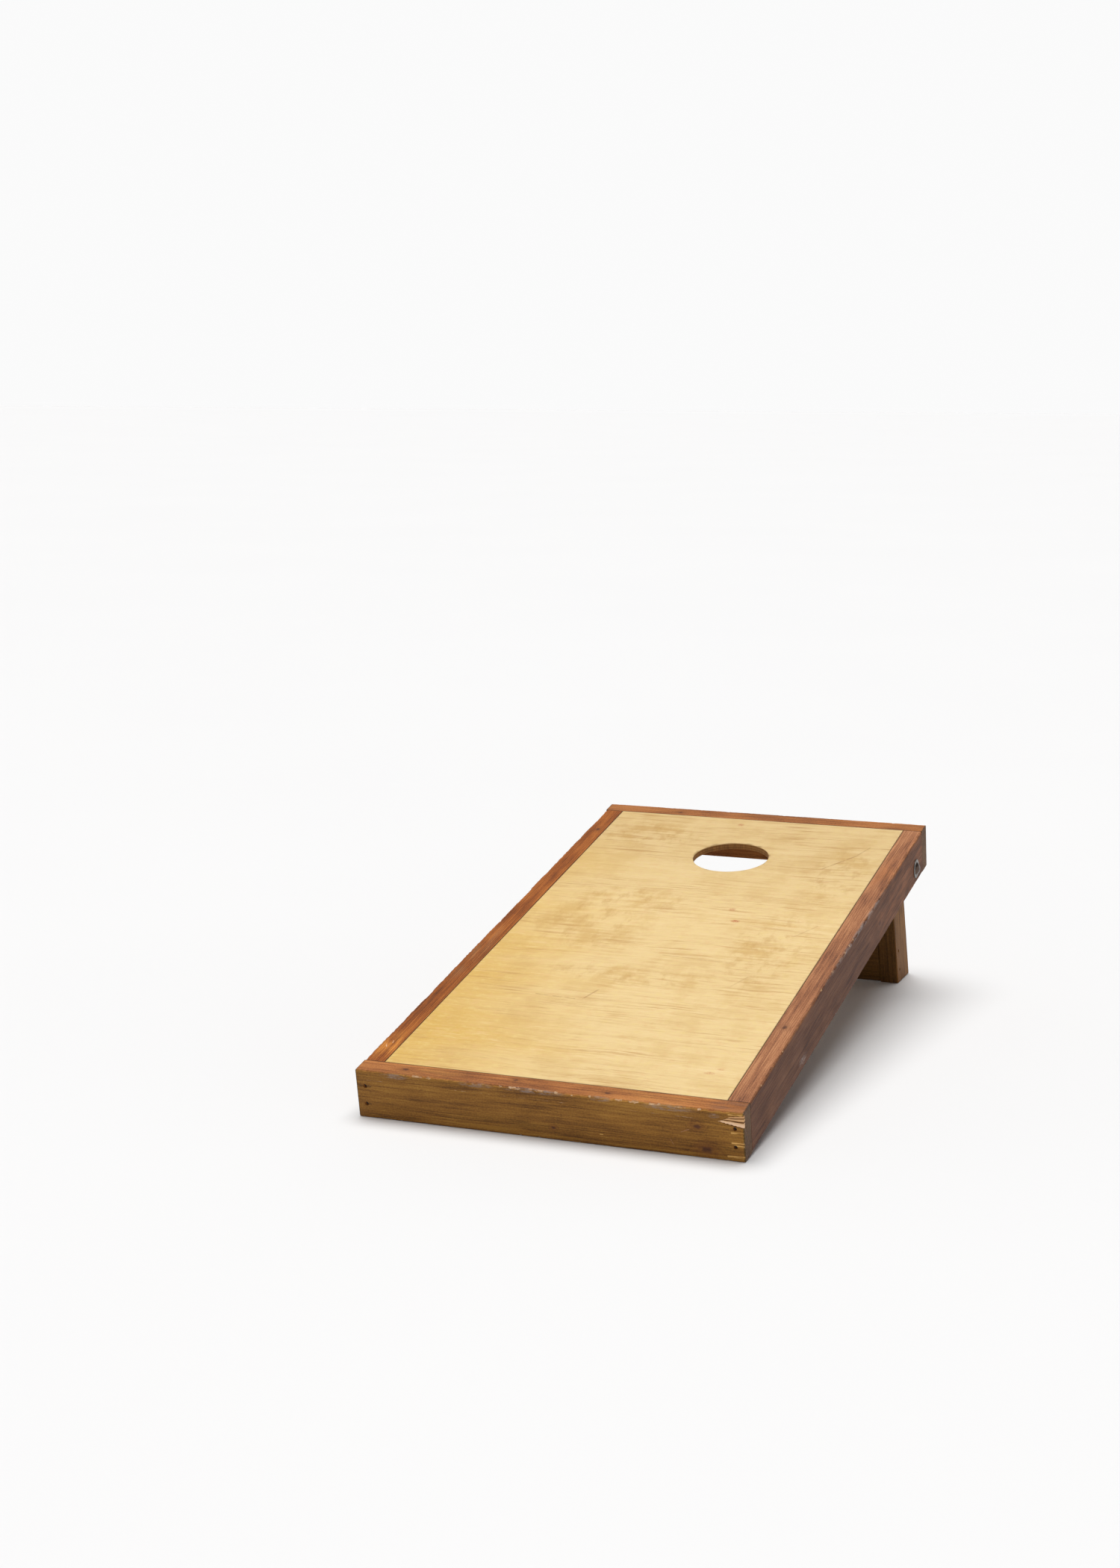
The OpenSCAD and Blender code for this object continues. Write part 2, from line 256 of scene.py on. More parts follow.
def plank_section(width, depth, radii, pitch, inset):
    """One ring of a plank: its points (y, z) and the outward normal of each."""
    points, normals = [], []
    corners, radii = plank_corners(width, depth), np.array(radii)
    inward = 1 - 2 * (corners > 0)
    tight = np.maximum(radii - inset, 0.05 * MM)[:, None]
    centres = corners + inward * (max(inset, 0) + tight)
    for turn in range(4):
        here, following = (turn + 1) % 4, (turn + 2) % 4
        for i in range(ARC_STEPS + 1):
            a = math.radians(-90 + 90 * turn + 90 * i / ARC_STEPS)
            way = np.array([math.cos(a), math.sin(a)])
            points.append(centres[here] + tight[here] * way)
            normals.append(way)
        flat = np.abs(corners[following] - corners[here]).sum() - radii[here] - radii[following]
        steps = max(1, round(flat / pitch))
        start, end = (centres[k] + tight[k] * way for k in (here, following))
        points.extend(start + (end - start) * i / steps for i in range(1, steps))
        normals.extend([way] * (steps - 1))
    return np.array(points), np.array(normals)


def plank_stations(length, step, fine):
    """Places along a plank, closer together within the (from, to, step) stretches in fine."""
    places = [-length / 2]
    while places[-1] < length / 2:
        here = places[-1]
        places.append(here + min([step] + [s for a, b, s in fine if a - step < here < b]))
    places = np.array(places)
    return (places + length / 2) / (places[-1] + length / 2) * length - length / 2


def edge_cut(x, worn, chips, seed):
    """How deep an edge is cut at each place along it: rubbed by about worn, and chipped."""
    line = np.stack([x, np.zeros_like(x)], 1)
    depth = worn * (0.55 + 0.45 * waves(line, 0.05, seed)) + worn * 0.35 * waves(line, 0.008, seed + 1)
    chipped = np.zeros_like(x)
    for n, (middle, half, deep) in enumerate(chips):
        shape = 1 - smooth_step(np.abs(x - middle), half * 0.45, half)
        ragged = 0.75 + 0.25 * waves(line, 0.004, seed + 7 + n)
        chipped = np.maximum(chipped, deep * shape * ragged)
    return depth, chipped


def random_chips(count, length, deep, seed):
    """Chips scattered along an edge: (middle, half length, depth)."""
    rng = np.random.default_rng(seed)
    return [(rng.uniform(-length / 2, length / 2), rng.uniform(1.5, 5) * MM, rng.uniform(0.5, 1) * deep)
            for _ in range(count)]


def new_tube(name, points, around, axes):
    """A solid from rings of points, with flat ends."""
    rings = len(points) // around
    faces = quads_between(rings, around)
    ends = [list(range(around)), list(range(len(points) - around, len(points)))]
    return new_piece(name, points, faces + ends, axes, (len(faces), len(faces) + 1))


def plank(name, node, axes, out, *, eased, worn, seed, chips=None, end_r=0.8 * MM, step=3 * MM,
          pitch=2.2 * MM, fine=(), carve=None, hollows=0.25 * MM):
    """A plank in place of a CAD node: eased long edges, rubbed and chipped, with faces a little uneven.
    eased and worn hold one value per long edge. Nothing is pushed outward, so it stays in its CAD box."""
    own, length, width, depth = plank_axes(node, axes, out)
    ends = [(end_r * (1 - math.sin(a)), end_r * (1 - math.cos(a))) for a in np.radians([0, *BEND])]
    middle = [x for x in plank_stations(length, step, fine) if abs(x) < length / 2 - 1.2 * end_r]
    left = [(-length / 2 + x, inset) for inset, x in ends]
    right = [(length / 2 - x, inset) for inset, x in reversed(ends)]
    stations = left + [(x, 0) for x in middle] + right
    sections = {inset: plank_section(width, depth, eased, pitch, inset) for _, inset in stations}
    ring, normal = (np.concatenate([sections[inset][k] for _, inset in stations]) for k in (0, 1))
    line = np.array([x for x, _ in stations])
    around = len(ring) // len(line)
    x = np.repeat(line, around)
    uneven = 0.5 + 0.5 * waves(np.column_stack([x, ring]) * [0.35, 1, 1], 0.045, seed)
    ring = ring - normal * (uneven * hollows)[:, None]
    edge, raw = np.zeros(len(x)), np.zeros(len(x))
    for k, corner in enumerate(plank_corners(width, depth)):
        outward = (2 * (corner > 0) - 1) / math.sqrt(2)
        sunk = (corner - ring) @ outward
        reach = np.linalg.norm(ring - corner, axis=1)
        worn_chipped = edge_cut(line, worn[k], (chips or {}).get(k, ()), seed + 31 * k)
        rubbed, chipped = (np.repeat(d, around) for d in worn_chipped)
        base = eased[k] * (math.sqrt(2) - 1)
        move = np.maximum(np.maximum(rubbed, chipped) + base - sunk, 0)
        ring = ring - outward * move[:, None]
        edge = np.maximum(edge, 1 - smooth_step(reach, 1.5 * MM, 9 * MM))
        raw = np.maximum(raw, smooth_step(chipped + base - sunk, 0, 0.4 * MM) * (chipped > 0.1 * MM))
    place = np.column_stack([x, ring])
    if carve:
        place, torn = carve(place, length)
        raw = np.maximum(raw, torn)
    piece = new_tube(name, place, around, own)
    paint(piece, "edge", edge)
    paint(piece, "raw", raw)
    return piece, own


# ---- Screws ----


def solids(node, axes):
    """The points of each separate solid of a CAD node, in the axes given."""
    shape = bmesh.new()
    shape.from_mesh(frame["nodes"][node].data)
    shape.transform(axes.inverted())
    bmesh.ops.remove_doubles(shape, verts=shape.verts, dist=0.01 * MM)
    left = set(shape.verts)
    found = []
    while left:
        group, front = [], [left.pop()]
        while front:
            vert = front.pop()
            group.append(tuple(vert.co))
            near = [e.other_vert(vert) for e in vert.link_edges]
            front += [v for v in near if v in left]
            left.difference_update(near)
        found.append(np.array(group))
    shape.free()
    return sorted(found, key=lambda p: tuple(np.round(p.mean(0), 3)))


def screw_places(node, axes):
    """Each screw's length, shank radius and head radius, and a matrix from a screw drawn down -Z."""
    places = []
    for points in solids(node, axes):
        low, high = points.min(0), points.max(0)
        way = int(np.argmax(high - low))
        others = [i for i in range(3) if i != way]
        middle = (low + high) / 2
        radius = np.linalg.norm((points - middle)[:, others], axis=1)
        at_low = radius[points[:, way] < low[way] + 1 * MM].max()
        at_high = radius[points[:, way] > high[way] - 1 * MM].max()
        head_up = at_high > at_low
        head = middle.copy()
        head[way] = high[way] if head_up else low[way]
        up = np.zeros(3)
        up[way] = 1 if head_up else -1
        between = np.abs(points[:, way] - middle[way]) < (high - low)[way] * 0.48
        inner = radius[between & (radius < 0.7 * radius.max())]
        turn = Vector(up).to_track_quat("Z", "Y").to_matrix().to_4x4()
        places.append(((high - low)[way], inner.max(), radius.max(), Matrix.Translation(head) @ turn))
    return places


def wood_screw(length, shank_r, head_r):
    """A countersunk wood screw drawn down -Z: a dished head, a plain neck, and a thread to its point."""
    neck, tip = 0.3 * length, 1 * MM - length
    head = [(0, head_r * 0.9), (-0.15 * MM, head_r * 0.97), (-0.4 * MM, head_r), (-0.6 * MM, head_r * 0.97)]
    profile = head + [(-2.7 * MM, shank_r), (-neck, shank_r * 0.98), (-length + 5 * MM, shank_r),
                      (tip, shank_r * 0.3), (-length, 0.1 * MM)]
    return threaded(profile, 16, -neck, tip, 2.4 * MM, 0.32 * shank_r)


def screw_drives(places, axes):
    """The square sockets in the heads of screws, to cut from them."""
    side, deep = 1.4 * MM, 1.8 * MM
    corners = [(-1, -1), (1, -1), (1, 1), (-1, 1)]
    points = np.array([(x * side * grow, y * side * grow, z) for z, grow in ((1 * MM, 1.1), (-deep, 0.85))
                       for x, y in corners])
    faces = quads_between(2, 4) + [[0, 1, 2, 3], [4, 5, 6, 7]]
    together = placed_together([(points, faces, place) for _, _, _, place in places])
    return new_piece("cutter", *together, axes)


def screws(node, axes, body, slot, material):
    """All the screws of a CAD node as one piece."""
    places = screw_places(node, axes)
    together = placed_together([(*wood_screw(*sizes), place) for *sizes, place in places])
    piece = new_piece(node + "_threaded", *together, axes)
    cut(piece, screw_drives(places, axes))
    dress(piece, body, slot, material, node)


def screw_holes(node, axes):
    """The holes round a CAD node's screws, open above their heads, to cut from the wood."""
    clear, above = 0.1 * MM, 12 * MM
    shapes = []
    for length, shank_r, head_r, place in screw_places(node, axes):
        profile = [(above, head_r + clear), (-0.5 * MM, head_r + clear), (-3.1 * MM, shank_r + clear),
                   (-length - clear, shank_r + clear)]
        shapes.append((*turned(profile, 24), place))
    return new_piece("cutter", *placed_together(shapes), axes)


# ---- Deck ----


def hole_loop(radius, around):
    """Points round the bag hole, starting at its front left diagonal."""
    angle = np.arange(around) * 2 * math.pi / around - 0.75 * math.pi
    return np.stack([radius * np.cos(angle), HOLE_Y + radius * np.sin(angle)], 1)


def grid_loop(left, front, right, back):
    """The (column, row) places round a rectangle of a grid."""
    return ([(i, front) for i in range(left, right)] + [(right, j) for j in range(front, back)]
            + [(i, back) for i in range(right, left, -1)] + [(left, j) for j in range(back, front, -1)])


def deck_panel():
    """The plywood deck: rounded over round the hole and at its edges, with a few splinters at the hole."""
    around, half, rim, edge_r = 160, HOLE_R + 30 * MM, 0.9 * MM, 0.5 * MM
    side = around // 4
    low, high = DECK_LOW[:2], DECK_HIGH[:2]
    inner = np.linspace(-half, half, side + 1)
    # Columns beside and rows before the hole's square, and rows behind it
    i0, j0, behind = 29, 109, 13
    x_lines, y_lines = (
        np.concatenate([np.linspace(low[k] + edge_r, middle - half, before + 1)[:-1], inner + middle,
                        np.linspace(middle + half, high[k] - edge_r, after + 1)[1:]])
        for k, middle, before, after in ((0, 0, i0, i0), (1, HOLE_Y, j0, behind)))
    points, faces = [], []

    def sheet(z):
        """One side of the panel. Gives its outer boundary and the loop round the hole's square."""
        index = {}
        for j, y in enumerate(y_lines):
            for i, x in enumerate(x_lines):
                if not (i0 < i < i0 + side and j0 < j < j0 + side):
                    index[i, j] = len(points)
                    points.append((x, y, z))
        for j in range(len(y_lines) - 1):
            for i in range(len(x_lines) - 1):
                if not (i0 <= i < i0 + side and j0 <= j < j0 + side):
                    faces.append([index[c] for c in ((i, j), (i + 1, j), (i + 1, j + 1), (i, j + 1))])
        outer = grid_loop(0, 0, len(x_lines) - 1, len(y_lines) - 1)
        square = grid_loop(i0, j0, i0 + side, j0 + side)
        return [index[c] for c in outer], [index[c] for c in square]

    def walls(loop, path, last):
        """Faces from one loop of points, through a path of (x and y places, z), to the last loop."""
        loops = []
        for places, z in path:
            loops.append(range(len(points), len(points) + len(loop)))
            points.extend((x, y, h) for (x, y), h in zip(places, np.broadcast_to(z, len(loop))))
        for following in (*loops, last):
            for i in range(len(loop)):
                j = (i + 1) % len(loop)
                faces.append([loop[i], loop[j], following[j], following[i]])
            loop = following

    top_border, top_square = sheet(0.0)
    low_border, low_square = sheet(-DECK_T)
    bend = np.radians(BEND)
    # From the top square in to the hole's rim, down its wall and out to the lower square
    frayed = (0.5 + 0.5 * waves(hole_loop(HOLE_R, around), 0.016, 5)) ** 2 * 0.9 * MM
    square = np.array([points[i][:2] for i in top_square])
    circle, centre = hole_loop(HOLE_R + rim, around), np.array([0, HOLE_Y])
    way = hole_loop(1, around) - centre
    path = [(square + (circle - square) * t, 0.0) for t in (0.3, 0.6, 0.85, 1)]
    for a in bend:
        radius = HOLE_R + rim * (1 - math.sin(a)) + frayed * (1 - math.sin(a) * 0.6)
        path.append((centre + way * radius[:, None], -rim * (1 - math.cos(a)) - frayed * 0.25))
    for share in (0.2, 0.4, 0.6, 0.8, 0.96):
        ply = 0.12 * MM * (1 + waves(np.column_stack([way * HOLE_R, np.full(around, share * 0.06)]), 0.02, 9))
        path.append((centre + way * (HOLE_R + ply)[:, None], -DECK_T * share))
    path.append((centre + way * (HOLE_R + 0.4 * MM), -DECK_T))
    path += [(square + (circle - square) * t, -DECK_T) for t in (0.6, 0.3)]
    walls(top_square, path, low_square)
    # Round the panel's edge
    border = np.array([points[i][:2] for i in top_border])
    push = (border > high - 0.6 * MM).astype(float) - (border < low + 0.6 * MM)
    rounding = [(border + push * edge_r * math.sin(a), edge_r * (1 - math.cos(a))) for a in bend]
    path = [(flat, -down) for flat, down in rounding]
    path += [(flat, down - DECK_T) for flat, down in reversed(rounding)]
    walls(top_border, path, low_border)
    points = np.array(points)
    worn = 0.5 + 0.5 * waves(points[:, :2] * [1, 1.6], 0.09, 21)
    points[:, 2] -= worn * 0.12 * MM * (points[:, 2] > -0.3 * MM)
    return new_piece("deck_panel", points, faces, BOARD)


# ---- Legs ----


def leg_outline(half, top, stop_r, reach, step):
    """A leg's side view as points (y, z): rounded over in front of the top, its foot cut level."""
    points = []

    def line(a, b):
        count = max(1, round(math.dist(a, b) / step))
        points.extend(np.array(a) + (np.array(b) - a) * i / count for i in range(count))

    def arc(centre, r, start, end):
        count = max(4, round(math.radians(start - end) * r / step))
        angles = np.radians(start + (end - start) * np.arange(count) / count)
        points.extend(np.array(centre) + r * np.array([math.cos(a), math.sin(a)]) for a in angles)

    front_foot, rear_foot = (-half, -reach(-half)), (half, -reach(half))
    line(front_foot, (-half, 0))
    arc((top - half, 0), top, 180, 90)
    line((top - half, top), (half - stop_r, top))
    arc((half - stop_r, top - stop_r), stop_r, 90, 0)
    line((half, top - stop_r), rear_foot)
    line(rear_foot, front_foot)
    return np.array(points)


def slab(name, outline, x_low, x_high, eased, axes, seed):
    """A plank sawn to an outline (y, z), with both rims of its faces eased, from x_low to x_high."""
    before, after = np.roll(outline, 1, 0), np.roll(outline, -1, 0)
    along, one, two = (step / np.linalg.norm(step, axis=1, keepdims=True)
                       for step in (after - before, outline - before, after - outline))
    outward = np.column_stack([-along[:, 1], along[:, 0]])
    outward *= np.sign(((outline - outline.mean(0)) * outward).sum())
    outward /= np.sqrt((1 + (one * two).sum(1)) / 2)[:, None]
    rounding = [(eased * (1 - math.cos(a)), eased * (1 - math.sin(a))) for a in np.radians(range(0, 91, 18))]
    inside = np.linspace(x_low + eased, x_high - eased, 12)[1:-1]
    stations = ([(x_low + x, inset) for x, inset in rounding] + [(x, 0) for x in inside]
                + [(x_high - x, inset) for x, inset in reversed(rounding)])
    points, edge = [], []
    for x, inset in stations:
        ring = np.column_stack([np.full(len(outline), x), outline])
        rough = 0.5 + 0.5 * waves(ring, 0.03, seed)
        ring[:, 1:] -= outward * (inset + rough * 0.35 * MM)[:, None]
        points.append(ring)
        near = min(x - x_low, x_high - x)
        edge.append(np.full(len(ring), 1 - smooth_step(near, 1 * MM, 6 * MM)))
    piece = new_tube(name, np.concatenate(points), len(outline), axes)
    paint(piece, "edge", np.concatenate(edge))
    paint(piece, "raw", np.zeros(len(piece.data.vertices)))
    return piece


def bore(x_low, x_high, radius):
    """A hole along X about the pivot, to cut from the wood."""
    turn = Matrix.Translation((x_high, 0, 0)) @ Matrix.Rotation(math.pi / 2, 4, "Y")
    points, faces = turned([(0, radius), (x_low - x_high, radius)], 48)
    return new_piece("cutter", *placed_together([(points, faces, turn)]), LEGS)


# ---- Bolts, washers and nuts ----

def bolt_line(node, near=None):
    """Distances from the pivot's line of a CAD node's points, or of those within near of its inner end."""
    points = turned_points(node, PIVOT)
    away = np.abs(points[:, 0])
    kept = away < away.min() + (near or math.inf)
    return np.linalg.norm(points[kept, 1:], axis=1)


def bolt_span(node):
    """How far from the middle of the board a CAD node on a pivot starts and ends."""
    away = np.abs(turned_points(node, PIVOT)[:, 0])
    return away.min(), away.max()


def mounted(name, shape, side, away, slot, material, *nodes):
    """Puts a turned shape on a pivot, +Z pointing out of the board, and dresses it."""
    own = Matrix(((0, 0, side, side * away), (0, -side, 0, 0), (1, 0, 0, 0), (0, 0, 0, 1)))
    dress(new_piece(name, *shape, PIVOT @ own), "board", slot, material, *nodes)


def carriage_bolt(name, node, side, material):
    """A domed head, a square neck that bites into the rail, and a shank threaded at its end."""
    inner, outer = bolt_span(node)
    seat = bolt_span(name.split("_")[0] + "_head_washer")[1]
    dome_r, dome_h, shank_r = bolt_line(node).max(), outer - seat, bolt_line(node, 3 * MM).max()
    neck_l, neck_half, threads = 10 * MM, shank_r + 0.2 * MM, 38 * MM
    ball_r = (dome_r ** 2 + dome_h ** 2) / (2 * dome_h)
    dome = [(dome_h - ball_r + math.sqrt(ball_r ** 2 - r ** 2), r)
            for r in np.linspace(0.03, 0.955, 12) * dome_r]
    end = inner - seat
    profile = dome + [(0.35 * MM, dome_r * 0.985), (0.1 * MM, dome_r * 0.985), (0, dome_r * 0.96),
                      (-0.01 * MM, neck_half), (-neck_l, neck_half), (-neck_l - 0.6 * MM, shank_r),
                      (end + threads, shank_r), (end + 1.2 * MM, shank_r), (end, shank_r - 1.2 * MM)]
    points, faces = threaded(profile, 64, end + threads, end + 0.4 * MM, 1.954 * MM, 1.1 * MM)
    in_neck = (points[:, 2] < 0) & (points[:, 2] > -neck_l - 0.1 * MM)
    angle = np.arctan2(points[:, 1], points[:, 0])
    square = 1 / np.maximum(np.abs(np.cos(angle)), np.abs(np.sin(angle)))
    points[in_neck, :2] *= np.minimum(square, 1.3)[in_neck, None]
    mounted(name, (points, faces), side, seat, "bolt", material, node)


def washer(node, side, material):
    """A punched washer: rounded over on one face, a little burred on the other."""
    inner, outer = bolt_span(node)
    r_out, r_in, thick = bolt_line(node).max(), bolt_line(node).min(), outer - inner
    ease = 0.45 * MM
    profile = [(0, r_in + 0.1 * MM), (0, r_out - 0.15 * MM), (0.15 * MM, r_out), (thick - ease, r_out),
               (thick - 0.3 * ease, r_out - 0.3 * ease), (thick, r_out - ease), (thick, r_in + ease),
               (thick - 0.3 * ease, r_in + 0.1 * ease), (thick - ease, r_in), (0.1 * MM, r_in)]
    mounted(node + "_punched", turned(profile, 72, closed=True), side, inner, "washer", material, node)


def lock_nut(node, side, metal, nylon):
    """A hexagon with chamfered corners and a round collar that holds a nylon ring."""
    inner, outer = bolt_span(node)
    corner, bore_r, collar_r = bolt_line(node).max(), bolt_line(node).min(), bolt_line(node, 0.5 * MM).max()
    flats, high, collar = corner * math.cos(math.radians(30)), outer - inner, 5 * MM

    def hexagon(z, r, angle):
        if r < flats * 0.97 or z < collar:
            return np.full(len(angle), float(r))
        sector = (angle + math.pi / 6) % (math.pi / 3) - math.pi / 6
        return np.minimum(flats / np.cos(np.abs(sector) - math.pi / 6), r)

    low_part = [(0, bore_r + 1.4 * MM), (0, collar_r - 1.3 * MM), (0.4 * MM, collar_r - 0.4 * MM),
                (1.2 * MM, collar_r), (collar - 0.4 * MM, collar_r), (collar, collar_r * 0.975)]
    hexagonal = [(collar + 0.02 * MM, flats * 0.99), (collar + 0.7 * MM, flats * 1.06),
                 (collar + 1.2 * MM, corner), (high - 1.2 * MM, corner), (high - 0.6 * MM, flats * 1.06),
                 (high - 0.2 * MM, flats * 0.99), (high, flats * 0.93)]
    inside = [(high, bore_r + 0.5 * MM), (high - 0.5 * MM, bore_r), (collar, bore_r),
              (3.2 * MM, bore_r + 0.1 * MM), (3.2 * MM, bore_r + 1.4 * MM)]
    nut = turned(low_part + hexagonal + inside, 72, hexagon, closed=True)
    mounted(node + "_hexagon", nut, side, inner, "nut", metal, node)
    ring = [(z * MM, bore_r + out * MM)
            for z, out in ((0.3, 1.35), (3.1, 1.35), (3.1, 0.02), (0.9, 0.02), (0.3, 0.5))]
    mounted(node + "_nylon_ring", turned(ring, 48, closed=True), side, inner, "nut", nylon)


# ---- Materials ----


class Shader:
    """One node-based material. Most methods add a node, feed its sockets and give back its output."""

    def __init__(self, name):
        self.material = bpy.data.materials.new(name)
        self.material.use_nodes = True
        self.tree = self.material.node_tree
        self.surface = self.tree.nodes["Principled BSDF"]
        self.colour = None

    def feed(self, socket, value):
        if isinstance(value, bpy.types.NodeSocket):
            self.tree.links.new(value, socket)
        else:
            socket.default_value = (*value, 1) if socket.type == "RGBA" else value

    def node(self, kind, values, output=0, **settings):
        made = self.tree.nodes.new("ShaderNode" + kind)
        for name, value in settings.items():
            setattr(made, name, value)
        for socket, value in values.items():
            self.feed(made.inputs[socket], value)
        return made.outputs[output]

    def math(self, operation, a, b=0.0, clamp=False):
        return self.node("Math", {0: a, 1: b}, operation=operation, use_clamp=clamp)

    def chain(self, operation, first, *others):
        for other in others:
            first = self.math(operation, first, other)
        return first

    def add(self, *values):
        return self.chain("ADD", *values)

    def times(self, *values):
        return self.chain("MULTIPLY", *values)

    def strongest(self, values):
        """The highest of some values, or 0 where there are none."""
        return self.chain("MAXIMUM", 0.0, *values)

    def swing(self, value, size):
        """A value about 0.5 turned into one about 0, of another size."""
        return self.times(self.add(value, -0.5), size)

    def vector(self, operation, a, b=(0, 0, 0), output=0):
        return self.node("VectorMath", {0: a, 1: b}, output, operation=operation)

    def length(self, vector):
        return self.vector("LENGTH", vector, output="Value")

    def attribute(self, name, output="Fac"):
        return self.node("Attribute", {}, output, attribute_name=name)

    def place(self):
        """Each point's place in its object's own axes."""
        return self.node("TexCoord", {}, "Object")

    def moved(self, at, scale, offset=(0, 0, 0)):
        return self.node("Mapping", {"Vector": at, "Location": offset, "Scale": scale})

    def noise(self, at, scale, detail=3.0, rough=0.5, offset=(0, 0, 0), output=0):
        """Noise from 0 to 1, with its own scale along each axis, or one scale for all."""
        scale = (scale,) * 3 if isinstance(scale, (int, float)) else scale
        values = {"Vector": self.moved(at, scale, offset), "Scale": 1.0, "Detail": detail, "Roughness": rough}
        return self.node("TexNoise", values, output)

    def drift(self, at, scale, size):
        """A smooth random shift, of its own size along each axis."""
        shift = self.vector("SUBTRACT", self.noise(at, scale, 2, output="Color"), (0.5, 0.5, 0.5))
        return self.vector("MULTIPLY", shift, size)

    def step(self, value, low, high, start=0.0, end=1.0):
        """start below low and end above high, with a smooth turn between."""
        values = {"Value": value, "From Min": low, "From Max": high, "To Min": start, "To Max": end}
        return self.node("MapRange", values, interpolation_type="SMOOTHSTEP")

    def mix(self, amount, a, b, blend="MIX"):
        return self.node("Mix", {0: amount, 6: a, 7: b}, 2, data_type="RGBA", blend_type=blend)

    def coat(self, amount, colour, blend="MIX"):
        """Lays another colour over the one so far, as far as amount says."""
        self.colour = self.mix(amount, self.colour, colour, blend)

    def ramp(self, value, stops):
        made = self.node("ValToRGB", {0: value}).node
        elements = made.color_ramp.elements
        while len(elements) < len(stops):
            elements.new(0.5)
        for element, (place, colour) in zip(elements, stops):
            element.position = place
            element.color = (*colour, 1)
        return made.outputs[0]

    def stroke(self, at, start, end, half, soft=0.5):
        """1 on a straight line between two points, fading to 0 at a distance of half from it."""
        way = Vector(end) - Vector(start)
        offset = self.vector("SUBTRACT", at, start)
        along = self.vector("DOT_PRODUCT", offset, tuple(way / way.length_squared), "Value")
        along = self.math("ADD", along, 0.0, clamp=True)
        nearest = self.node("VectorMath", {0: tuple(way), "Scale": along}, operation="SCALE")
        return self.step(self.length(self.vector("SUBTRACT", offset, nearest)), half * soft, half, 1.0, 0.0)

    def spot(self, at, centre, radii):
        """1 inside an ellipsoid about centre, fading to 0 at its surface."""
        inverse = tuple(1 / r for r in radii)
        offset = self.vector("MULTIPLY", self.vector("SUBTRACT", at, centre), inverse)
        return self.step(self.length(offset), 0.35, 1.0, 1.0, 0.0)

    def split(self, vector):
        """A vector's three numbers."""
        return tuple(self.node("SeparateXYZ", {0: vector}).node.outputs)

    def done(self, roughness, height, bump=0.5, distance=0.4 * MM, **constants):
        """Feeds the surface and gives the material. constants are set on the shader's own sockets."""
        normal = self.node("Bump", {"Strength": bump, "Distance": distance, "Height": height})
        for name, value in (("Base Color", self.colour), ("Roughness", roughness), ("Normal", normal)):
            self.feed(self.surface.inputs[name], value)
        for name, value in constants.items():
            self.surface.inputs[name.replace("_", " ")].default_value = value
        return self.material


RAW_WOOD = [(0.22, (0.20, 0.10, 0.04)), (0.45, (0.42, 0.245, 0.12)), (0.75, (0.68, 0.47, 0.30))]
STAIN = {"light": (0.47, 0.185, 0.050), "mid": (0.32, 0.112, 0.028), "dark": (0.135, 0.042, 0.013)}
LEFT_STAIN = {"light": (0.41, 0.130, 0.018), "mid": (0.255, 0.066, 0.007), "dark": (0.110, 0.028, 0.004)}
RIGHT_STAIN = {"light": (0.47, 0.215, 0.098), "mid": (0.31, 0.123, 0.053), "dark": (0.125, 0.045, 0.024)}
# The legs' and crossbar's stain, darkened as painted shade for the shade beneath the board
LEG_STAIN_AND_SHADE = {"light": (0.174, 0.080, 0.015), "mid": (0.106, 0.045, 0.008), "dark": (0.050, 0.020, 0.003)}
BRUISE = (0.33, 0.26, 0.23)
GAP, CRACK = (0.030, 0.014, 0.008), (0.018, 0.009, 0.006)
HEART_DARK, HEART_LIGHT = (0.040, 0.014, 0.009), (0.10, 0.033, 0.018)
WHITE = (1, 1, 1)
# Farther out than any plank reaches
NOWHERE = 9.0


def shade(colour, by, plus=0.0):
    """A colour made darker or lighter."""
    return tuple(min(1, c * by + plus) for c in colour)


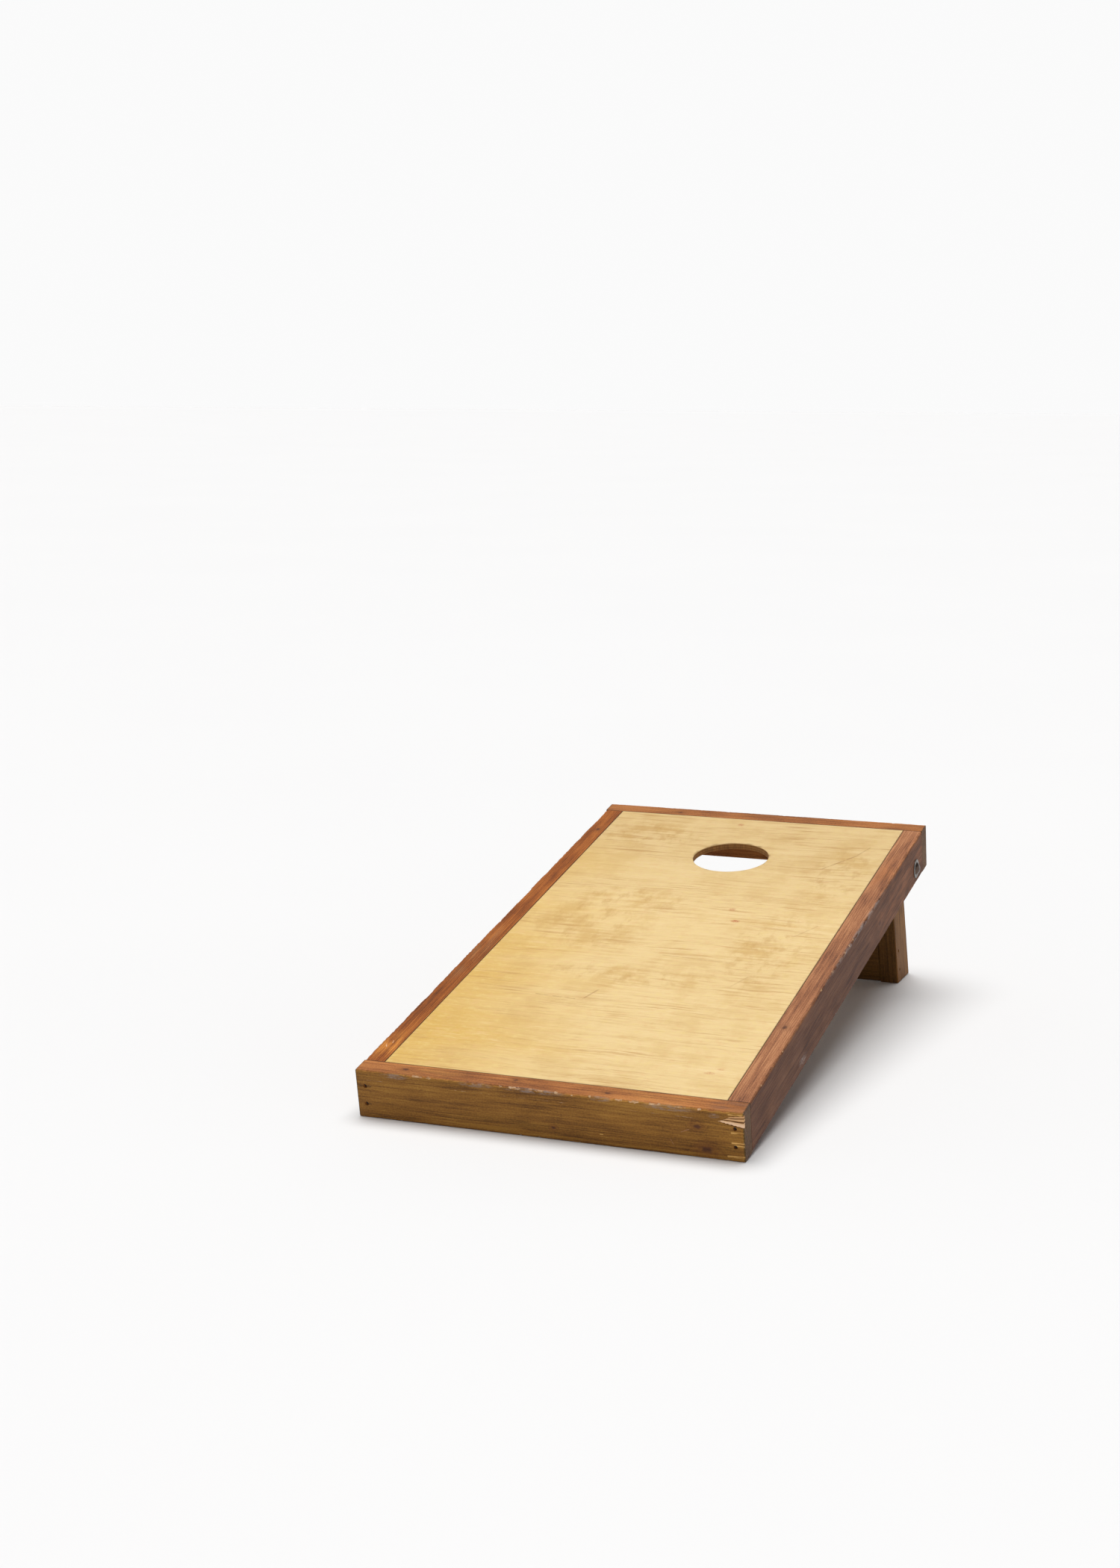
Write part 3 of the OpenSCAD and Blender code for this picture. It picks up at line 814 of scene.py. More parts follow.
def stained_wood(name, seed, tones, *, pith=(0.03, 0.09), spacing=3.4 * MM, knots=(), cracks=(), bruises=(),
                 patches=(), strokes=(), outer=WHITE, end_painted_shade=WHITE, ends=NOWHERE, inside=NOWHERE,
                 splintered=None):
    """Stained softwood in a plank's own axes: growth rings about its pith, fibres, knots, worn edges.
    knots: (x, y, z, radius, axis that it runs along). cracks: (start, end, half width).
    bruises: (centre, radii) of greyed wear. patches: (centre, radii, colour) of another tone.
    strokes: (start, end, half width, colour) of scraped wood. outer multiplies the outer face's colour: painted
    shade on the rails, with dust as well on the right rail, and painted light on the legs. end_painted_shade
    multiplies both ends' colour as painted shade. ends and inside are where along x and z the plank stops, with
    dirt in its joints there."""
    s = Shader(name)
    grain = s.attribute("grain", "Vector")
    x, y, z = s.split(grain)
    out_x = s.math("ABSOLUTE", x)
    edge, raw = s.attribute("edge"), s.attribute("raw")
    here = s.moved(grain, (1, 1, 1), (seed * 3.7, seed * 1.3, seed * 2.1))
    # Growth rings, pushed aside a little by the knots
    wander = s.drift(here, (1.2, 5, 5), (0, 0.03, 0.03))
    across = s.vector("MULTIPLY", s.vector("ADD", grain, wander), (0, 1, 1))
    radius = s.vector("DISTANCE", across, (0, *pith), "Value")
    cores, halos = [], []
    for *centre, size, axis in knots:
        flat = tuple(0.0 if i == axis else (0.62 if i == 0 else 1.0) for i in range(3))
        away = s.length(s.vector("MULTIPLY", s.vector("SUBTRACT", grain, centre), flat))
        away = s.add(away, s.swing(s.noise(here, 160), 1.1 * size))
        cores.append(s.step(away, size * 0.35, size * 1.1, 1.0, 0.0))
        halos.append(s.step(away, size * 0.6, size * 3.2, 1.0, 0.0))
    core, halo = s.strongest(cores), s.strongest(halos)
    radius = s.add(radius, s.times(halo, 0.005))
    uneven = s.noise(here, (3, 30, 30), 2)
    phase = s.math("FRACT", s.add(s.times(radius, 1 / spacing), s.times(uneven, 1.5)))
    late = s.times(s.step(phase, 0.30, 0.90), s.step(phase, 0.93, 1.0, 1.0, 0.0))
    fibre = s.noise(here, (14, 520, 520), 3, 0.6)
    streak = s.noise(here, (3.2, 190, 190), 4, 0.62)
    blotch = s.noise(here, (7, 24, 24), 3, 0.6)
    speck = s.noise(here, (300, 420, 420), 2, 0.6)
    tone = s.add(0.50, s.times(s.add(late, -0.4), 0.13), s.swing(streak, 1.1), s.swing(fibre, 0.95),
                 s.swing(blotch, 1.05), s.swing(speck, 0.75))
    s.colour = s.ramp(tone, [(0.15, tones["light"]), (0.5, tones["mid"]), (0.88, tones["dark"])])
    for centre, radii, patch in patches:
        streaked = s.step(s.noise(here, (14, 60, 60), 3), 0.35, 0.65)
        amount = s.times(s.spot(grain, centre, radii), streaked, 0.75)
        s.coat(amount, s.mix(s.step(tone, 0.2, 0.9), patch, shade(patch, 0.45)))
    # Stain rubbed thin in streaks along the edges; then painted shade on the outer face (with dust on the right
    # rail's, and painted light on the legs'), and painted shade on the ends
    rub = s.times(edge, s.step(s.noise(here, (11, 260, 260), 4, 0.65), 0.50, 0.68))
    s.coat(s.times(rub, 0.5), shade(tones["light"], 1.45, 0.01))
    # Painted light and shade on the outer face: darker on the rails, with dust too on the right rail, lighter on
    # the legs
    s.coat(s.step(z, 0.3 * MM, 3.5 * MM, 1.0, 0.0), outer, "MULTIPLY")
    # Painted shade on both ends
    s.coat(s.step(out_x, BOARD_W / 2 - 3 * MM, BOARD_W / 2 - 0.6 * MM), end_painted_shade, "MULTIPLY")
    where = s.strongest(s.spot(grain, centre, radii) for centre, radii in bruises)
    s.coat(s.times(where, s.step(s.noise(here, (50, 190, 190), 4, 0.7), 0.38, 0.66), 0.7), BRUISE)
    s.coat(s.times(halo, 0.45), shade(tones["mid"], 0.62))
    s.coat(s.times(core, 0.8), s.mix(s.step(fibre, 0.4, 0.6), HEART_DARK, HEART_LIGHT))
    # Bare wood where a splinter or a chip has gone
    pale = s.noise(here, (55, 330, 330), 3, 0.6)
    bare = s.ramp(s.add(s.times(pale, 1.5), s.times(fibre, 0.5), -0.5), RAW_WOOD)
    flaked = s.times(raw, s.add(s.times(s.noise(here, (170, 330, 330), 3, 0.65), 2.8), -0.75))
    torn = s.step(flaked, 0.42, 0.64)
    s.coat(s.times(torn, 0.85), bare)
    pits = s.step(s.noise(here, (120, 420, 420), 2, 0.5), 0.66, 0.76)
    s.coat(s.times(pits, 0.5), shade(tones["dark"], 0.5))
    dents = s.noise(here, (45, 80, 80), 3, 0.55)
    height = s.add(s.times(late, 0.15), s.times(fibre, 0.55), s.times(streak, 0.35), s.times(dents, 0.9),
                   s.times(pits, -0.5))
    for start, end, half, scraped in strokes:
        broken = s.step(s.noise(here, (60, 300, 300), 3), 0.33, 0.5)
        s.coat(s.times(s.stroke(grain, start, end, half, 0.3), broken, 0.8), scraped)
    if splintered:
        amount, stripes, ridges = splintered(s, x, y, z, here)
        s.coat(amount, stripes)
        height = s.add(height, s.times(ridges, amount, 1.5))
    split = s.strongest(s.stroke(grain, *crack) for crack in cracks)
    s.coat(s.times(split, 0.9), CRACK)
    height = s.add(height, s.times(split, -1.5))
    # Dirt in the joints, near the top
    by_deck = s.times(s.step(z, inside - 1.3 * MM, inside - 0.5 * MM), s.step(y, 1.5 * MM, 3 * MM, 1.0, 0.0))
    by_rail = s.times(s.step(out_x, ends - 1.3 * MM, ends - 0.4 * MM), s.step(y, 6 * MM, 16 * MM, 1.0, 0.15))
    s.coat(s.times(s.strongest([by_deck, by_rail]), 0.85), GAP)
    roughness = s.add(0.50, s.times(fibre, 0.2), s.times(blotch, 0.12), s.times(torn, 0.2))
    return s.done(roughness, height, 0.75, 0.55 * MM, Specular_IOR_Level=0.22)


GOLD, CREAM = (0.62, 0.385, 0.084), (0.72, 0.535, 0.258)
STREAK, DASH, SMUDGE = (0.42, 0.215, 0.070), (0.41, 0.205, 0.055), (0.54, 0.335, 0.105)
RUST, PALE = (0.42, 0.095, 0.03), (0.84, 0.67, 0.40)
BROWN_MOTTLE, GOLD_MOTTLE, SWIRL = (0.70, 0.44, 0.20), (0.74, 0.56, 0.22), (0.47, 0.27, 0.075)
SCRATCHED, FAR_PAINTED_SHADE, JOINT_DIRT = (0.33, 0.165, 0.055), (0.90, 0.88, 0.86), (0.16, 0.085, 0.032)
PLIES, TOP_PLY, PLY_PORES = 5, (0.62, 0.40, 0.165), (0.17, 0.078, 0.024)
END_PLY, LONG_PLY = (0.47, 0.215, 0.062), (0.34, 0.150, 0.040)
UNDER_LIGHT, UNDER_DARK = (0.50, 0.34, 0.17), (0.34, 0.20, 0.085)
PINE_TONES = [(0.2, (0.66, 0.46, 0.24)), (0.5, (0.54, 0.34, 0.155)), (0.85, (0.34, 0.18, 0.07))]
# Small marks on the deck, in board axes: x, y, half sizes, and how strong
RUST_MARKS = [(0.104, 0.738, 0.012, 0.008, 1.0), (0.082, 0.791, 0.009, 0.010, 0.6),
              (-0.032, 1.225, 0.009, 0.008, 0.7), (0.247, 0.123, 0.013, 0.007, 0.5),
              (0.262, 0.140, 0.008, 0.005, 0.35)]
# From x, y to x, y, and how strong
SCRATCHES = [(0.195, 1.020, 0.245, 1.100, 0.9), (0.245, 1.100, 0.262, 1.150, 0.6),
             (-0.060, 0.350, -0.046, 0.392, 0.9), (-0.150, 0.352, -0.075, 0.346, 0.7),
             (0.232, 0.690, 0.262, 0.745, 0.45), (0.020, 0.560, 0.150, 0.552, 0.5),
             (0.180, 0.452, 0.200, 0.500, 0.35)]
# Handled, dirtier areas of the deck: x, y and half sizes
HANDLED = [(-0.17, 0.68, 0.17, 0.17), (-0.13, 0.80, 0.16, 0.08), (0.20, 0.62, 0.10, 0.25),
           (-0.20, 1.14, 0.16, 0.09), (0.24, 1.00, 0.08, 0.20), (-0.02, 0.46, 0.22, 0.05)]


def plywood():
    """The deck in board axes: varnished veneer, its grain across the board, and bare plies at its edges."""
    s = Shader("deck_plywood")
    at = s.attribute("grain", "Vector")
    x, y, z = s.split(at)
    flat = s.vector("MULTIPLY", at, (1, 1, 0))
    grain = s.vector("ADD", flat, s.drift(flat, (3.0, 5.0, 1), (0, 0.035, 0)))
    fine = s.noise(grain, (24, 380, 1), 4, 0.7)
    band = s.noise(grain, (4.5, 55, 1), 5, 0.68, (3, 1, 0))
    broad = s.noise(grain, (1.7, 9, 1), 3, 0.55, (7, 2, 0))
    cloud = s.noise(flat, (11, 7, 1), 5, 0.62, (1, 5, 0))
    # Golden near the left and the front, paler to the right and the back
    pale = s.add(s.times(x, 1.9), s.times(y, 0.45), s.swing(broad, 0.9), 0.72)
    s.colour = s.mix(s.step(pale, 0.1, 0.95), GOLD, CREAM)
    tone = s.add(s.swing(fine, 1.25), s.swing(band, 0.85), s.swing(broad, 0.6), s.swing(cloud, 0.4))
    s.coat(s.step(tone, 0.0, 0.60, 0.0, 0.75), STREAK)
    s.coat(s.step(tone, 0.0, -0.55, 0.0, 0.6), PALE)
    mottle = s.noise(flat, (55, 80, 1), 4, 0.65, (6, 3, 0))
    s.coat(s.step(mottle, 0.50, 0.68, 0.0, 0.35), BROWN_MOTTLE)
    s.coat(s.step(mottle, 0.50, 0.34, 0.0, 0.35), GOLD_MOTTLE)
    # Soft darker streaks along the grain, in clusters
    dashes = s.times(s.step(s.noise(grain, (7, 125, 1), 5, 0.66, (2, 0, 0)), 0.51, 0.66),
                     s.step(s.noise(grain, (3, 11, 1), 3, 0.6, (0, 9, 0)), 0.40, 0.60))
    s.coat(s.times(dashes, 0.62), DASH)
    handled = s.strongest(s.spot(flat, (a, b, 0), (wide, long, 1)) for a, b, wide, long in HANDLED)
    grime = s.step(s.add(cloud, s.swing(band, 0.5)), 0.44, 0.66)
    s.coat(s.times(grime, s.add(s.times(handled, 0.34), 0.26)), SMUDGE)
    swirl = s.step(s.noise(flat, (36, 20, 1), 5, 0.64, (4, 4, 0)), 0.49, 0.66)
    s.coat(s.times(swirl, handled, 0.42), SWIRL)
    ragged = s.step(s.noise(flat, (260, 420, 1), 3, 0.6), 0.35, 0.6)
    for a, b, wide, long, strong in RUST_MARKS:
        s.coat(s.times(s.spot(flat, (a, b, 0), (wide, long, 1)), ragged, strong), RUST)
    scratched = s.strongest(s.times(s.stroke(flat, (a, b, 0), (c, d, 0), 2.8 * MM, 0.1), strong)
                            for a, b, c, d, strong in SCRATCHES)
    scratched = s.times(scratched, s.step(s.noise(flat, (90, 90, 1), 3, 0.6), 0.3, 0.55))
    s.coat(s.times(scratched, 0.7), SCRATCHED)
    # Painted shade: the deck darker towards the rear
    s.coat(s.step(y, 0.70, 1.15), FAR_PAINTED_SHADE, "MULTIPLY")
    # Dirt in the joint with the rails
    from_middle = s.vector("ABSOLUTE", s.vector("SUBTRACT", at, tuple(DECK_MIDDLE)))
    away = s.vector("SUBTRACT", from_middle, tuple(DECK_HALF))
    border = s.step(s.math("MAXIMUM", *s.split(away)[:2]), -1.6 * MM, -0.5 * MM)
    s.coat(s.times(border, 0.65), JOINT_DIRT)
    # The plies: end grain and long grain in turn, browned by the varnish that ran down them
    layer = s.math("FRACT", s.times(z, -0.5 / (DECK_T / PLIES)))
    upright = s.noise(at, (420, 420, 40), 3, 0.6)
    ply = s.mix(s.step(layer, 0.47, 0.53), END_PLY, LONG_PLY)
    ply = s.mix(s.step(upright, 0.35, 0.7, 0.0, 0.6), ply, PLY_PORES)
    ply = s.mix(s.step(z, -2.2 * MM, -0.9 * MM, 0.0, 0.8), ply, TOP_PLY)
    under = s.mix(s.step(tone, -0.3, 0.5), UNDER_LIGHT, UNDER_DARK)
    inside = s.step(z, -0.75 * MM, -0.3 * MM, 1.0, 0.0)
    s.coat(inside, ply)
    s.coat(s.step(z, 0.25 * MM - DECK_T, 0.05 * MM - DECK_T), under)
    height = s.add(s.times(fine, 0.5), s.times(band, 0.35), s.times(dashes, -0.12), s.times(scratched, -0.3),
                   s.times(inside, upright, 1.2))
    roughness = s.add(0.42, s.times(cloud, 0.16), s.times(fine, 0.10), s.times(grime, handled, 0.12),
                      s.times(inside, 0.25))
    return s.done(roughness, height, 0.4, 0.25 * MM, Specular_IOR_Level=0.28)


def bare_pine():
    """Planed softwood with no finish, for the strips under the deck."""
    s = Shader("cleat_pine")
    grain = s.attribute("grain", "Vector")
    fibre = s.noise(grain, (10, 520, 520), 3, 0.6)
    streak = s.noise(grain, (2, 110, 110), 4, 0.6)
    blotch = s.noise(grain, (9, 30, 30), 3)
    tone = s.add(s.times(fibre, 0.4), s.times(streak, 0.7), s.times(blotch, 0.3), -0.2)
    s.colour = s.ramp(tone, PINE_TONES)
    s.coat(s.times(s.attribute("edge"), 0.25), (0.70, 0.53, 0.33))
    return s.done(s.add(0.55, s.times(fibre, 0.25)), s.add(fibre, s.times(streak, 0.5)))


def worn_metal(name, clean, dull, *, rough, metallic=1.0, scratch=0.5):
    """Plated or darkened steel: blotched by handling, with fine scratches both ways."""
    s = Shader(name)
    at = s.place()
    cloud = s.noise(at, 230, 4, 0.6)
    speck = s.noise(at, 1500, 2, 0.6)
    hair = s.noise(at, (2600, 160, 160), 3, 0.6)
    hair_too = s.noise(at, (170, 2400, 300), 3, 0.6, (5, 5, 5))
    lines = s.times(s.math("MAXIMUM", s.step(hair, 0.60, 0.72), s.step(hair_too, 0.62, 0.74)), scratch)
    dirty = s.times(s.step(s.add(s.times(cloud, 0.8), s.times(speck, 0.25)), 0.42, 0.66), 0.5)
    s.colour = s.mix(dirty, clean, dull)
    s.coat(s.times(lines, 0.5), shade(clean, 1.6, 0.05))
    roughness = s.add(rough, s.times(dirty, 0.3), s.swing(cloud, 0.2))
    height = s.add(s.times(speck, 0.4), s.times(cloud, 0.3), s.times(lines, -0.6))
    return s.done(roughness, height, 0.35, 0.08 * MM, Metallic=metallic)


def nylon():
    """The lock nuts' insert, faintly mottled."""
    s = Shader("nylon_insert")
    mottle = s.noise(s.place(), 600, 3, 0.6)
    s.colour = s.mix(mottle, (0.55, 0.60, 0.66), (0.72, 0.74, 0.76))
    return s.done(s.add(0.42, s.times(mottle, 0.15)), mottle, 0.2, 0.05 * MM)


def studio_floor():
    """A plain pale floor with the faintest unevenness."""
    s = Shader("studio_floor")
    at = s.place()
    soft = s.noise(at, 0.6, 2)
    s.colour = s.mix(soft, (0.750, 0.757, 0.778), (0.765, 0.772, 0.792))
    return s.done(s.add(0.85, s.times(soft, 0.05)), s.noise(at, 90, 2), 0.05)


# ---- The board's wood ----

RAIL_T = np.ptp(turned_points("front_rail", BOARD)[:, 1])
# The torn corner of the front rail, distances down its face: its edges at its tip and at the rail's end
TEAR_REACH, TEAR_TIP, TEAR_END = 47 * MM, (12.5 * MM, 18.5 * MM), (5 * MM, 28.5 * MM)
# Across the tear, from its upper edge (0) to its lower (1): how deep, and how pale
TEAR_STRIPES = [(0.00, 1.0, 0.0), (0.04, 0.8, 0.2), (0.08, 0.4, 0.6), (0.18, 0.5, 0.75), (0.22, 1.0, 0.05),
                (0.27, 1.0, 0.10), (0.31, 0.5, 0.8), (0.45, 0.4, 0.65), (0.49, 1.0, 0.05), (0.57, 0.9, 0.10),
                (0.61, 0.3, 0.9), (0.94, 0.35, 1.0), (0.98, 1.0, 0.1), (1.00, 1.0, 0.0)]
TEAR_TONES = [(0.0, (0.085, 0.034, 0.012)), (0.45, (0.50, 0.235, 0.07)), (0.85, (0.80, 0.48, 0.235)),
              (1.0, (0.93, 0.62, 0.41))]
# How far along the tear its splinters start, at its upper edge, and how that changes down to the lower
TIPS_START, TIPS_SLOPE = 0.42, -0.45
# Nicks in the rail's end, in millimetres: how far down its face, half width, and length
NICKS = ((37.5, 2.2, 20), (57, 3.0, 20), (80, 2.5, 30))
SCRAPED, SCRAPED_PINK = (0.82, 0.47, 0.14), (0.42, 0.20, 0.10)


def mm(*sizes):
    """Sizes given in millimetres."""
    return [size * MM for size in sizes]


def tear_tips(across):
    """How far along the tear each of its splinters starts: the upper ones are shorter."""
    return TIPS_START + TIPS_SLOPE * across


def splinters(place, length):
    """Ridges and grooves sunk in the front rail's corner, its end nibbled.
    Gives the points, and how bare each is."""
    x, y, z = place.T
    from_end = length / 2 - x
    share = np.clip(1 - from_end / TEAR_REACH, 0, 1)
    upper, lower = (tip + (end - tip) * share for tip, end in zip(TEAR_TIP, TEAR_END))
    across = (y - upper) / (lower - upper)
    places, depths, _ = zip(*TEAR_STRIPES)
    within = (across > 0) * (across < 1) * smooth_step(share, tear_tips(across), tear_tips(across) + 0.15)
    on_face = 1 - smooth_step(z, 1.5 * MM, 7 * MM)
    depth = 2.4 * MM * np.interp(across, places, depths) * within * (0.5 + 0.5 * share)
    for at, half, reach in NICKS:
        nick = smooth_step(1 - from_end / (reach * MM), 0, 0.6)
        nick = nick * (1 - smooth_step(np.abs(y - at * MM), half * MM * 0.4, half * MM))
        depth = np.maximum(depth, 1.1 * MM * nick)
    moved = place.copy()
    moved[:, 2] += depth * on_face
    bite = 1.8 * MM * np.clip(waves(np.column_stack([y, z]), 0.006, 77) - 0.1, 0, 1)
    moved[:, 0] -= bite * (from_end < 1.2 * MM) * on_face
    return moved, 0.8 * (bite > 0.7 * MM) * (from_end < 2 * MM) * on_face


def torn_corner(s, x, y, z, here):
    """The look of the torn corner: how much of it shows, its colour, and how high its ridges stand."""
    share = s.math("ADD", s.add(s.times(x, 1 / TEAR_REACH), 1 - BOARD_W / 2 / TEAR_REACH), 0.0, clamp=True)
    upper, lower = (s.add(s.times(share, end - tip), tip) for tip, end in zip(TEAR_TIP, TEAR_END))
    across = s.math("DIVIDE", s.math("SUBTRACT", y, upper), s.math("SUBTRACT", lower, upper))
    across = s.add(across, s.swing(s.noise(here, (40, 260, 1), 2), 0.12))
    light = s.ramp(across, [(at, (pale, pale, pale)) for at, _, pale in TEAR_STRIPES])
    light = s.add(light, s.swing(s.noise(here, (24, 700, 700), 3, 0.6), 0.5))
    start = s.add(s.times(across, TIPS_SLOPE), TIPS_START, s.swing(s.noise(here, (60, 300, 300), 2), 0.35))
    amount = s.times(s.step(across, -0.01, 0.02), s.step(across, 0.99, 1.02, 1.0, 0.0),
                     s.step(s.math("SUBTRACT", share, start), 0.0, 0.08), s.step(z, 4 * MM, 8 * MM, 1.0, 0.0))
    return amount, s.ramp(light, TEAR_TONES), light


# Along the front rail's top edge: x, then half length and depth in millimetres
FRONT_CHIPS = [(-0.229, 12, 2.6), (-0.208, 5, 2.1), (-0.078, 4, 1.9), (-0.052, 13, 2.3), (-0.024, 5, 2.0),
               (-0.008, 9, 2.3), (0.022, 5, 2.5), (0.049, 3, 2.8), (0.081, 3, 1.9), (0.131, 9, 2.1),
               (0.156, 12, 2.2), (0.187, 8, 2.0), (0.199, 4, 2.4), (0.238, 9, 2.1), (0.268, 4, 2.0)]
FRONT_KNOTS = [(-0.257, 0, 0.020, 4.5 * MM, 1), (-0.059, 0, 0.026, 3.5 * MM, 1), (0.107, 0, 0.017, 4 * MM, 1),
               (0.263, 0.033, 0, 4.5 * MM, 2), (0.278, 0.073, 0, 7 * MM, 2), (0.013, 0.066, 0, 2.5 * MM, 2)]
# On its face: from x, y to x, y, half width in millimetres, colour
FRONT_STROKES = [
    (0.321, 0.0375, 0.345, 0.0370, 1.7, SCRAPED), (0.322, 0.0555, 0.345, 0.0560, 2.2, SCRAPED),
    (0.326, 0.0600, 0.345, 0.0600, 1.8, SCRAPED), (0.314, 0.0805, 0.345, 0.0800, 2.6, SCRAPED),
    (0.317, 0.0050, 0.345, 0.0045, 1.5, SCRAPED), (0.217, 0.062, 0.222, 0.071, 0.8, SCRAPED_PINK),
    (0.236, 0.046, 0.249, 0.040, 1.0, SCRAPED_PINK), (0.095, 0.068, 0.100, 0.068, 0.9, SCRAPED)]
# x, y and half sizes
FRONT_BRUISES = [(-0.270, 0.006, 0.034, 0.006, 0.006), (-0.122, 0.004, 0.036, 0.006, 0.007),
                 (-0.02, 0.003, 0.070, 0.006, 0.006), (0.098, 0.003, 0.024, 0.006, 0.006),
                 (0.215, 0.005, 0.056, 0.007, 0.007), (0.292, 0.010, 0.013, 0.005, 0.006)]
# x, y, z, half sizes, colour
FRONT_PATCHES = [(-0.20, 0, 0.015, 0.08, 0.012, 0.03, (0.52, 0.215, 0.052)),
                 (0.318, 0, 0.020, 0.050, 0.010, 0.03, (0.24, 0.105, 0.055)),
                 (0.18, 0, 0.022, 0.09, 0.012, 0.03, (0.56, 0.235, 0.058)),
                 (0.305, 0.050, 0, 0.07, 0.050, 0.02, (0.50, 0.185, 0.045)),
                 (0.150, 0.050, 0, 0.12, 0.030, 0.02, (0.44, 0.155, 0.038)),
                 (-0.050, 0.070, 0, 0.16, 0.020, 0.02, (0.40, 0.150, 0.036))]


def front_rail():
    chips = {TOP_OUTER: [(x, half * MM, deep * MM) for x, half, deep in FRONT_CHIPS],
             LOW_OUTER: random_chips(6, BOARD_W, 1.6 * MM, 3)}
    # outer and end_painted_shade: painted shade on the front face and on the ends
    wood = stained_wood(
        "front_rail_wood", 1, STAIN, pith=(0.052, 0.085), outer=(0.80, 0.99, 0.64),
        end_painted_shade=(0.36, 0.50, 0.82), inside=RAIL_T, knots=FRONT_KNOTS, splintered=torn_corner,
        cracks=[((-0.338, 0.0300, 0), (-0.316, 0.0295, 0), 0.8 * MM),
                ((-0.330, 0.0635, 0), (-0.318, 0.0630, 0), 0.7 * MM)],
        strokes=[((a, b, 0), (c, d, 0), half * MM, colour) for a, b, c, d, half, colour in FRONT_STROKES],
        bruises=[((x, y, 0), (a, b, c)) for x, y, a, b, c in FRONT_BRUISES],
        patches=[((x, y, z), (a, b, c), colour) for x, y, z, a, b, c, colour in FRONT_PATCHES])
    piece, own = plank("front_rail_worn", "front_rail", BOARD, (0, -1, 0), seed=11, chips=chips,
                       eased=mm(2.8, 2.5, 2.0, 0.5), worn=mm(1.9, 0.7, 0.3, 0.15), end_r=1.8 * MM,
                       step=2.2 * MM, pitch=1.3 * MM, fine=[(0.295, 0.35, 1.1 * MM)], carve=splinters)
    dress_wood(piece, "board", "frame", wood, "front_rail", BOARD, own, "front_rail_screws")


def rear_rail():
    chips = {k: random_chips(n, BOARD_W, 1.8 * MM, 20 + k) for k, n in ((TOP_OUTER, 12), (LOW_OUTER, 8))}
    # outer and end_painted_shade: painted shade on the rear face and on the ends
    wood = stained_wood(
        "rear_rail_wood", 2, STAIN, pith=(0.03, 0.075), spacing=2.9 * MM, inside=RAIL_T,
        outer=(0.60, 0.68, 0.72), end_painted_shade=(0.42, 0.56, 0.85),
        knots=[(0.18, 0, 0.024, 4 * MM, 1), (-0.11, 0.04, 0, 7 * MM, 2), (0.22, 0.06, 0, 6 * MM, 2)],
        patches=[((-0.29, 0, 0.02), (0.08, 0.02, 0.04), (0.50, 0.19, 0.055))],
        bruises=[((0.14, 0.002, 0), (0.05, 0.006, 0.008))])
    piece, own = plank("rear_rail_worn", "rear_rail", BOARD, (0, 1, 0), seed=12, chips=chips,
                       eased=mm(2.6, 2.5, 2.0, 0.5), worn=mm(0.9, 0.7, 0.3, 0.15))
    dress_wood(piece, "board", "frame", wood, "rear_rail", BOARD, own, "rear_rail_screws")


def side_rail(side, word, seed, tones, **look):
    """A side rail, at side -1 or 1 along x. look holds what is its own of its wood."""
    node = word + "_side_rail"
    chips = {TOP_OUTER: random_chips(11, BOARD_L, 1.5 * MM, seed),
             LOW_OUTER: random_chips(8, BOARD_L, 1.6 * MM, seed + 1)}
    piece, own = plank(node + "_worn", node, BOARD, (side, 0, 0), seed=seed, chips=chips,
                       eased=mm(4.0, 2.5, 2.0, 0.5), worn=mm(1.6, 0.8, 0.3, 0.15), end_r=0.5 * MM)
    joint = np.ptp(turned_points(node, BOARD)[:, 1]) / 2
    wood = stained_wood(node + "_wood", seed, tones, ends=joint, inside=RAIL_T, **look)
    dress_wood(piece, "board", "frame", wood, node, BOARD, own, "front_rail_screws", "rear_rail_screws")


def side_rails():
    # outer: dust and painted shade on the right rail's outer face
    side_rail(1, "right", 4, RIGHT_STAIN, pith=(0.060, 0.080), spacing=3.0 * MM, outer=(0.38, 0.335, 0.30),
              knots=[(-0.331, 0, 0.022, 5 * MM, 1), (0.25, 0.05, 0, 6 * MM, 2)],
              bruises=[((-0.305, 0.072, 0), (0.03, 0.012, 0.02)),
                       ((0.10, 0.003, 0.001), (0.3, 0.006, 0.006))],
              patches=[((0.37, 0, 0.02), (0.12, 0.02, 0.03), (0.44, 0.165, 0.06)),
                       ((0.50, 0.04, 0), (0.40, 0.10, 0.01), (0.75, 0.31, 0.13))])
    # outer: painted shade on the left rail's outer face
    side_rail(-1, "left", 5, LEFT_STAIN, pith=(0.045, 0.090), outer=(0.58, 0.72, 1.0),
              knots=[(-0.497, 0, 0.022, 5 * MM, 1), (0.1, 0.05, 0, 6 * MM, 2)],
              strokes=[((0.545, 0, 0.012), (0.554, 0, 0.016), 1.3 * MM, (0.72, 0.46, 0.28)),
                       ((0.530, 0, 0.019), (0.539, 0, 0.021), 1.0 * MM, (0.66, 0.40, 0.24))],
              patches=[((0.545, 0, 0.02), (0.07, 0.02, 0.03), (0.74, 0.28, 0.045)),
                       ((0.15, 0, 0.018), (0.16, 0.02, 0.02), (0.40, 0.16, 0.05))])


def deck():
    dress_wood(deck_panel(), "board", "deck", plywood(), "deck", BOARD, BOARD, "deck_screws")


def cleats():
    wood = bare_pine()
    for n, (word, out) in enumerate((("front", (0, 1, 0)), ("rear", (0, -1, 0)), ("left", (1, 0, 0)),
                                     ("right", (-1, 0, 0)))):
        node = word + "_cleat"
        piece, own = plank(node + "_planed", node, BOARD, out, seed=40 + n, eased=mm(0.8, 0.8, 0.8, 0.8),
                           worn=mm(0.4, 0.4, 0.4, 0.4), end_r=0.4 * MM, step=5 * MM, pitch=1.9 * MM,
                           hollows=0.12 * MM)
        own = own @ Matrix.Translation((n * 1.7, n * 0.3, 0))
        dress_wood(piece, "board", "cleat", wood, node, BOARD, own, "cleat_screws", "deck_screws")


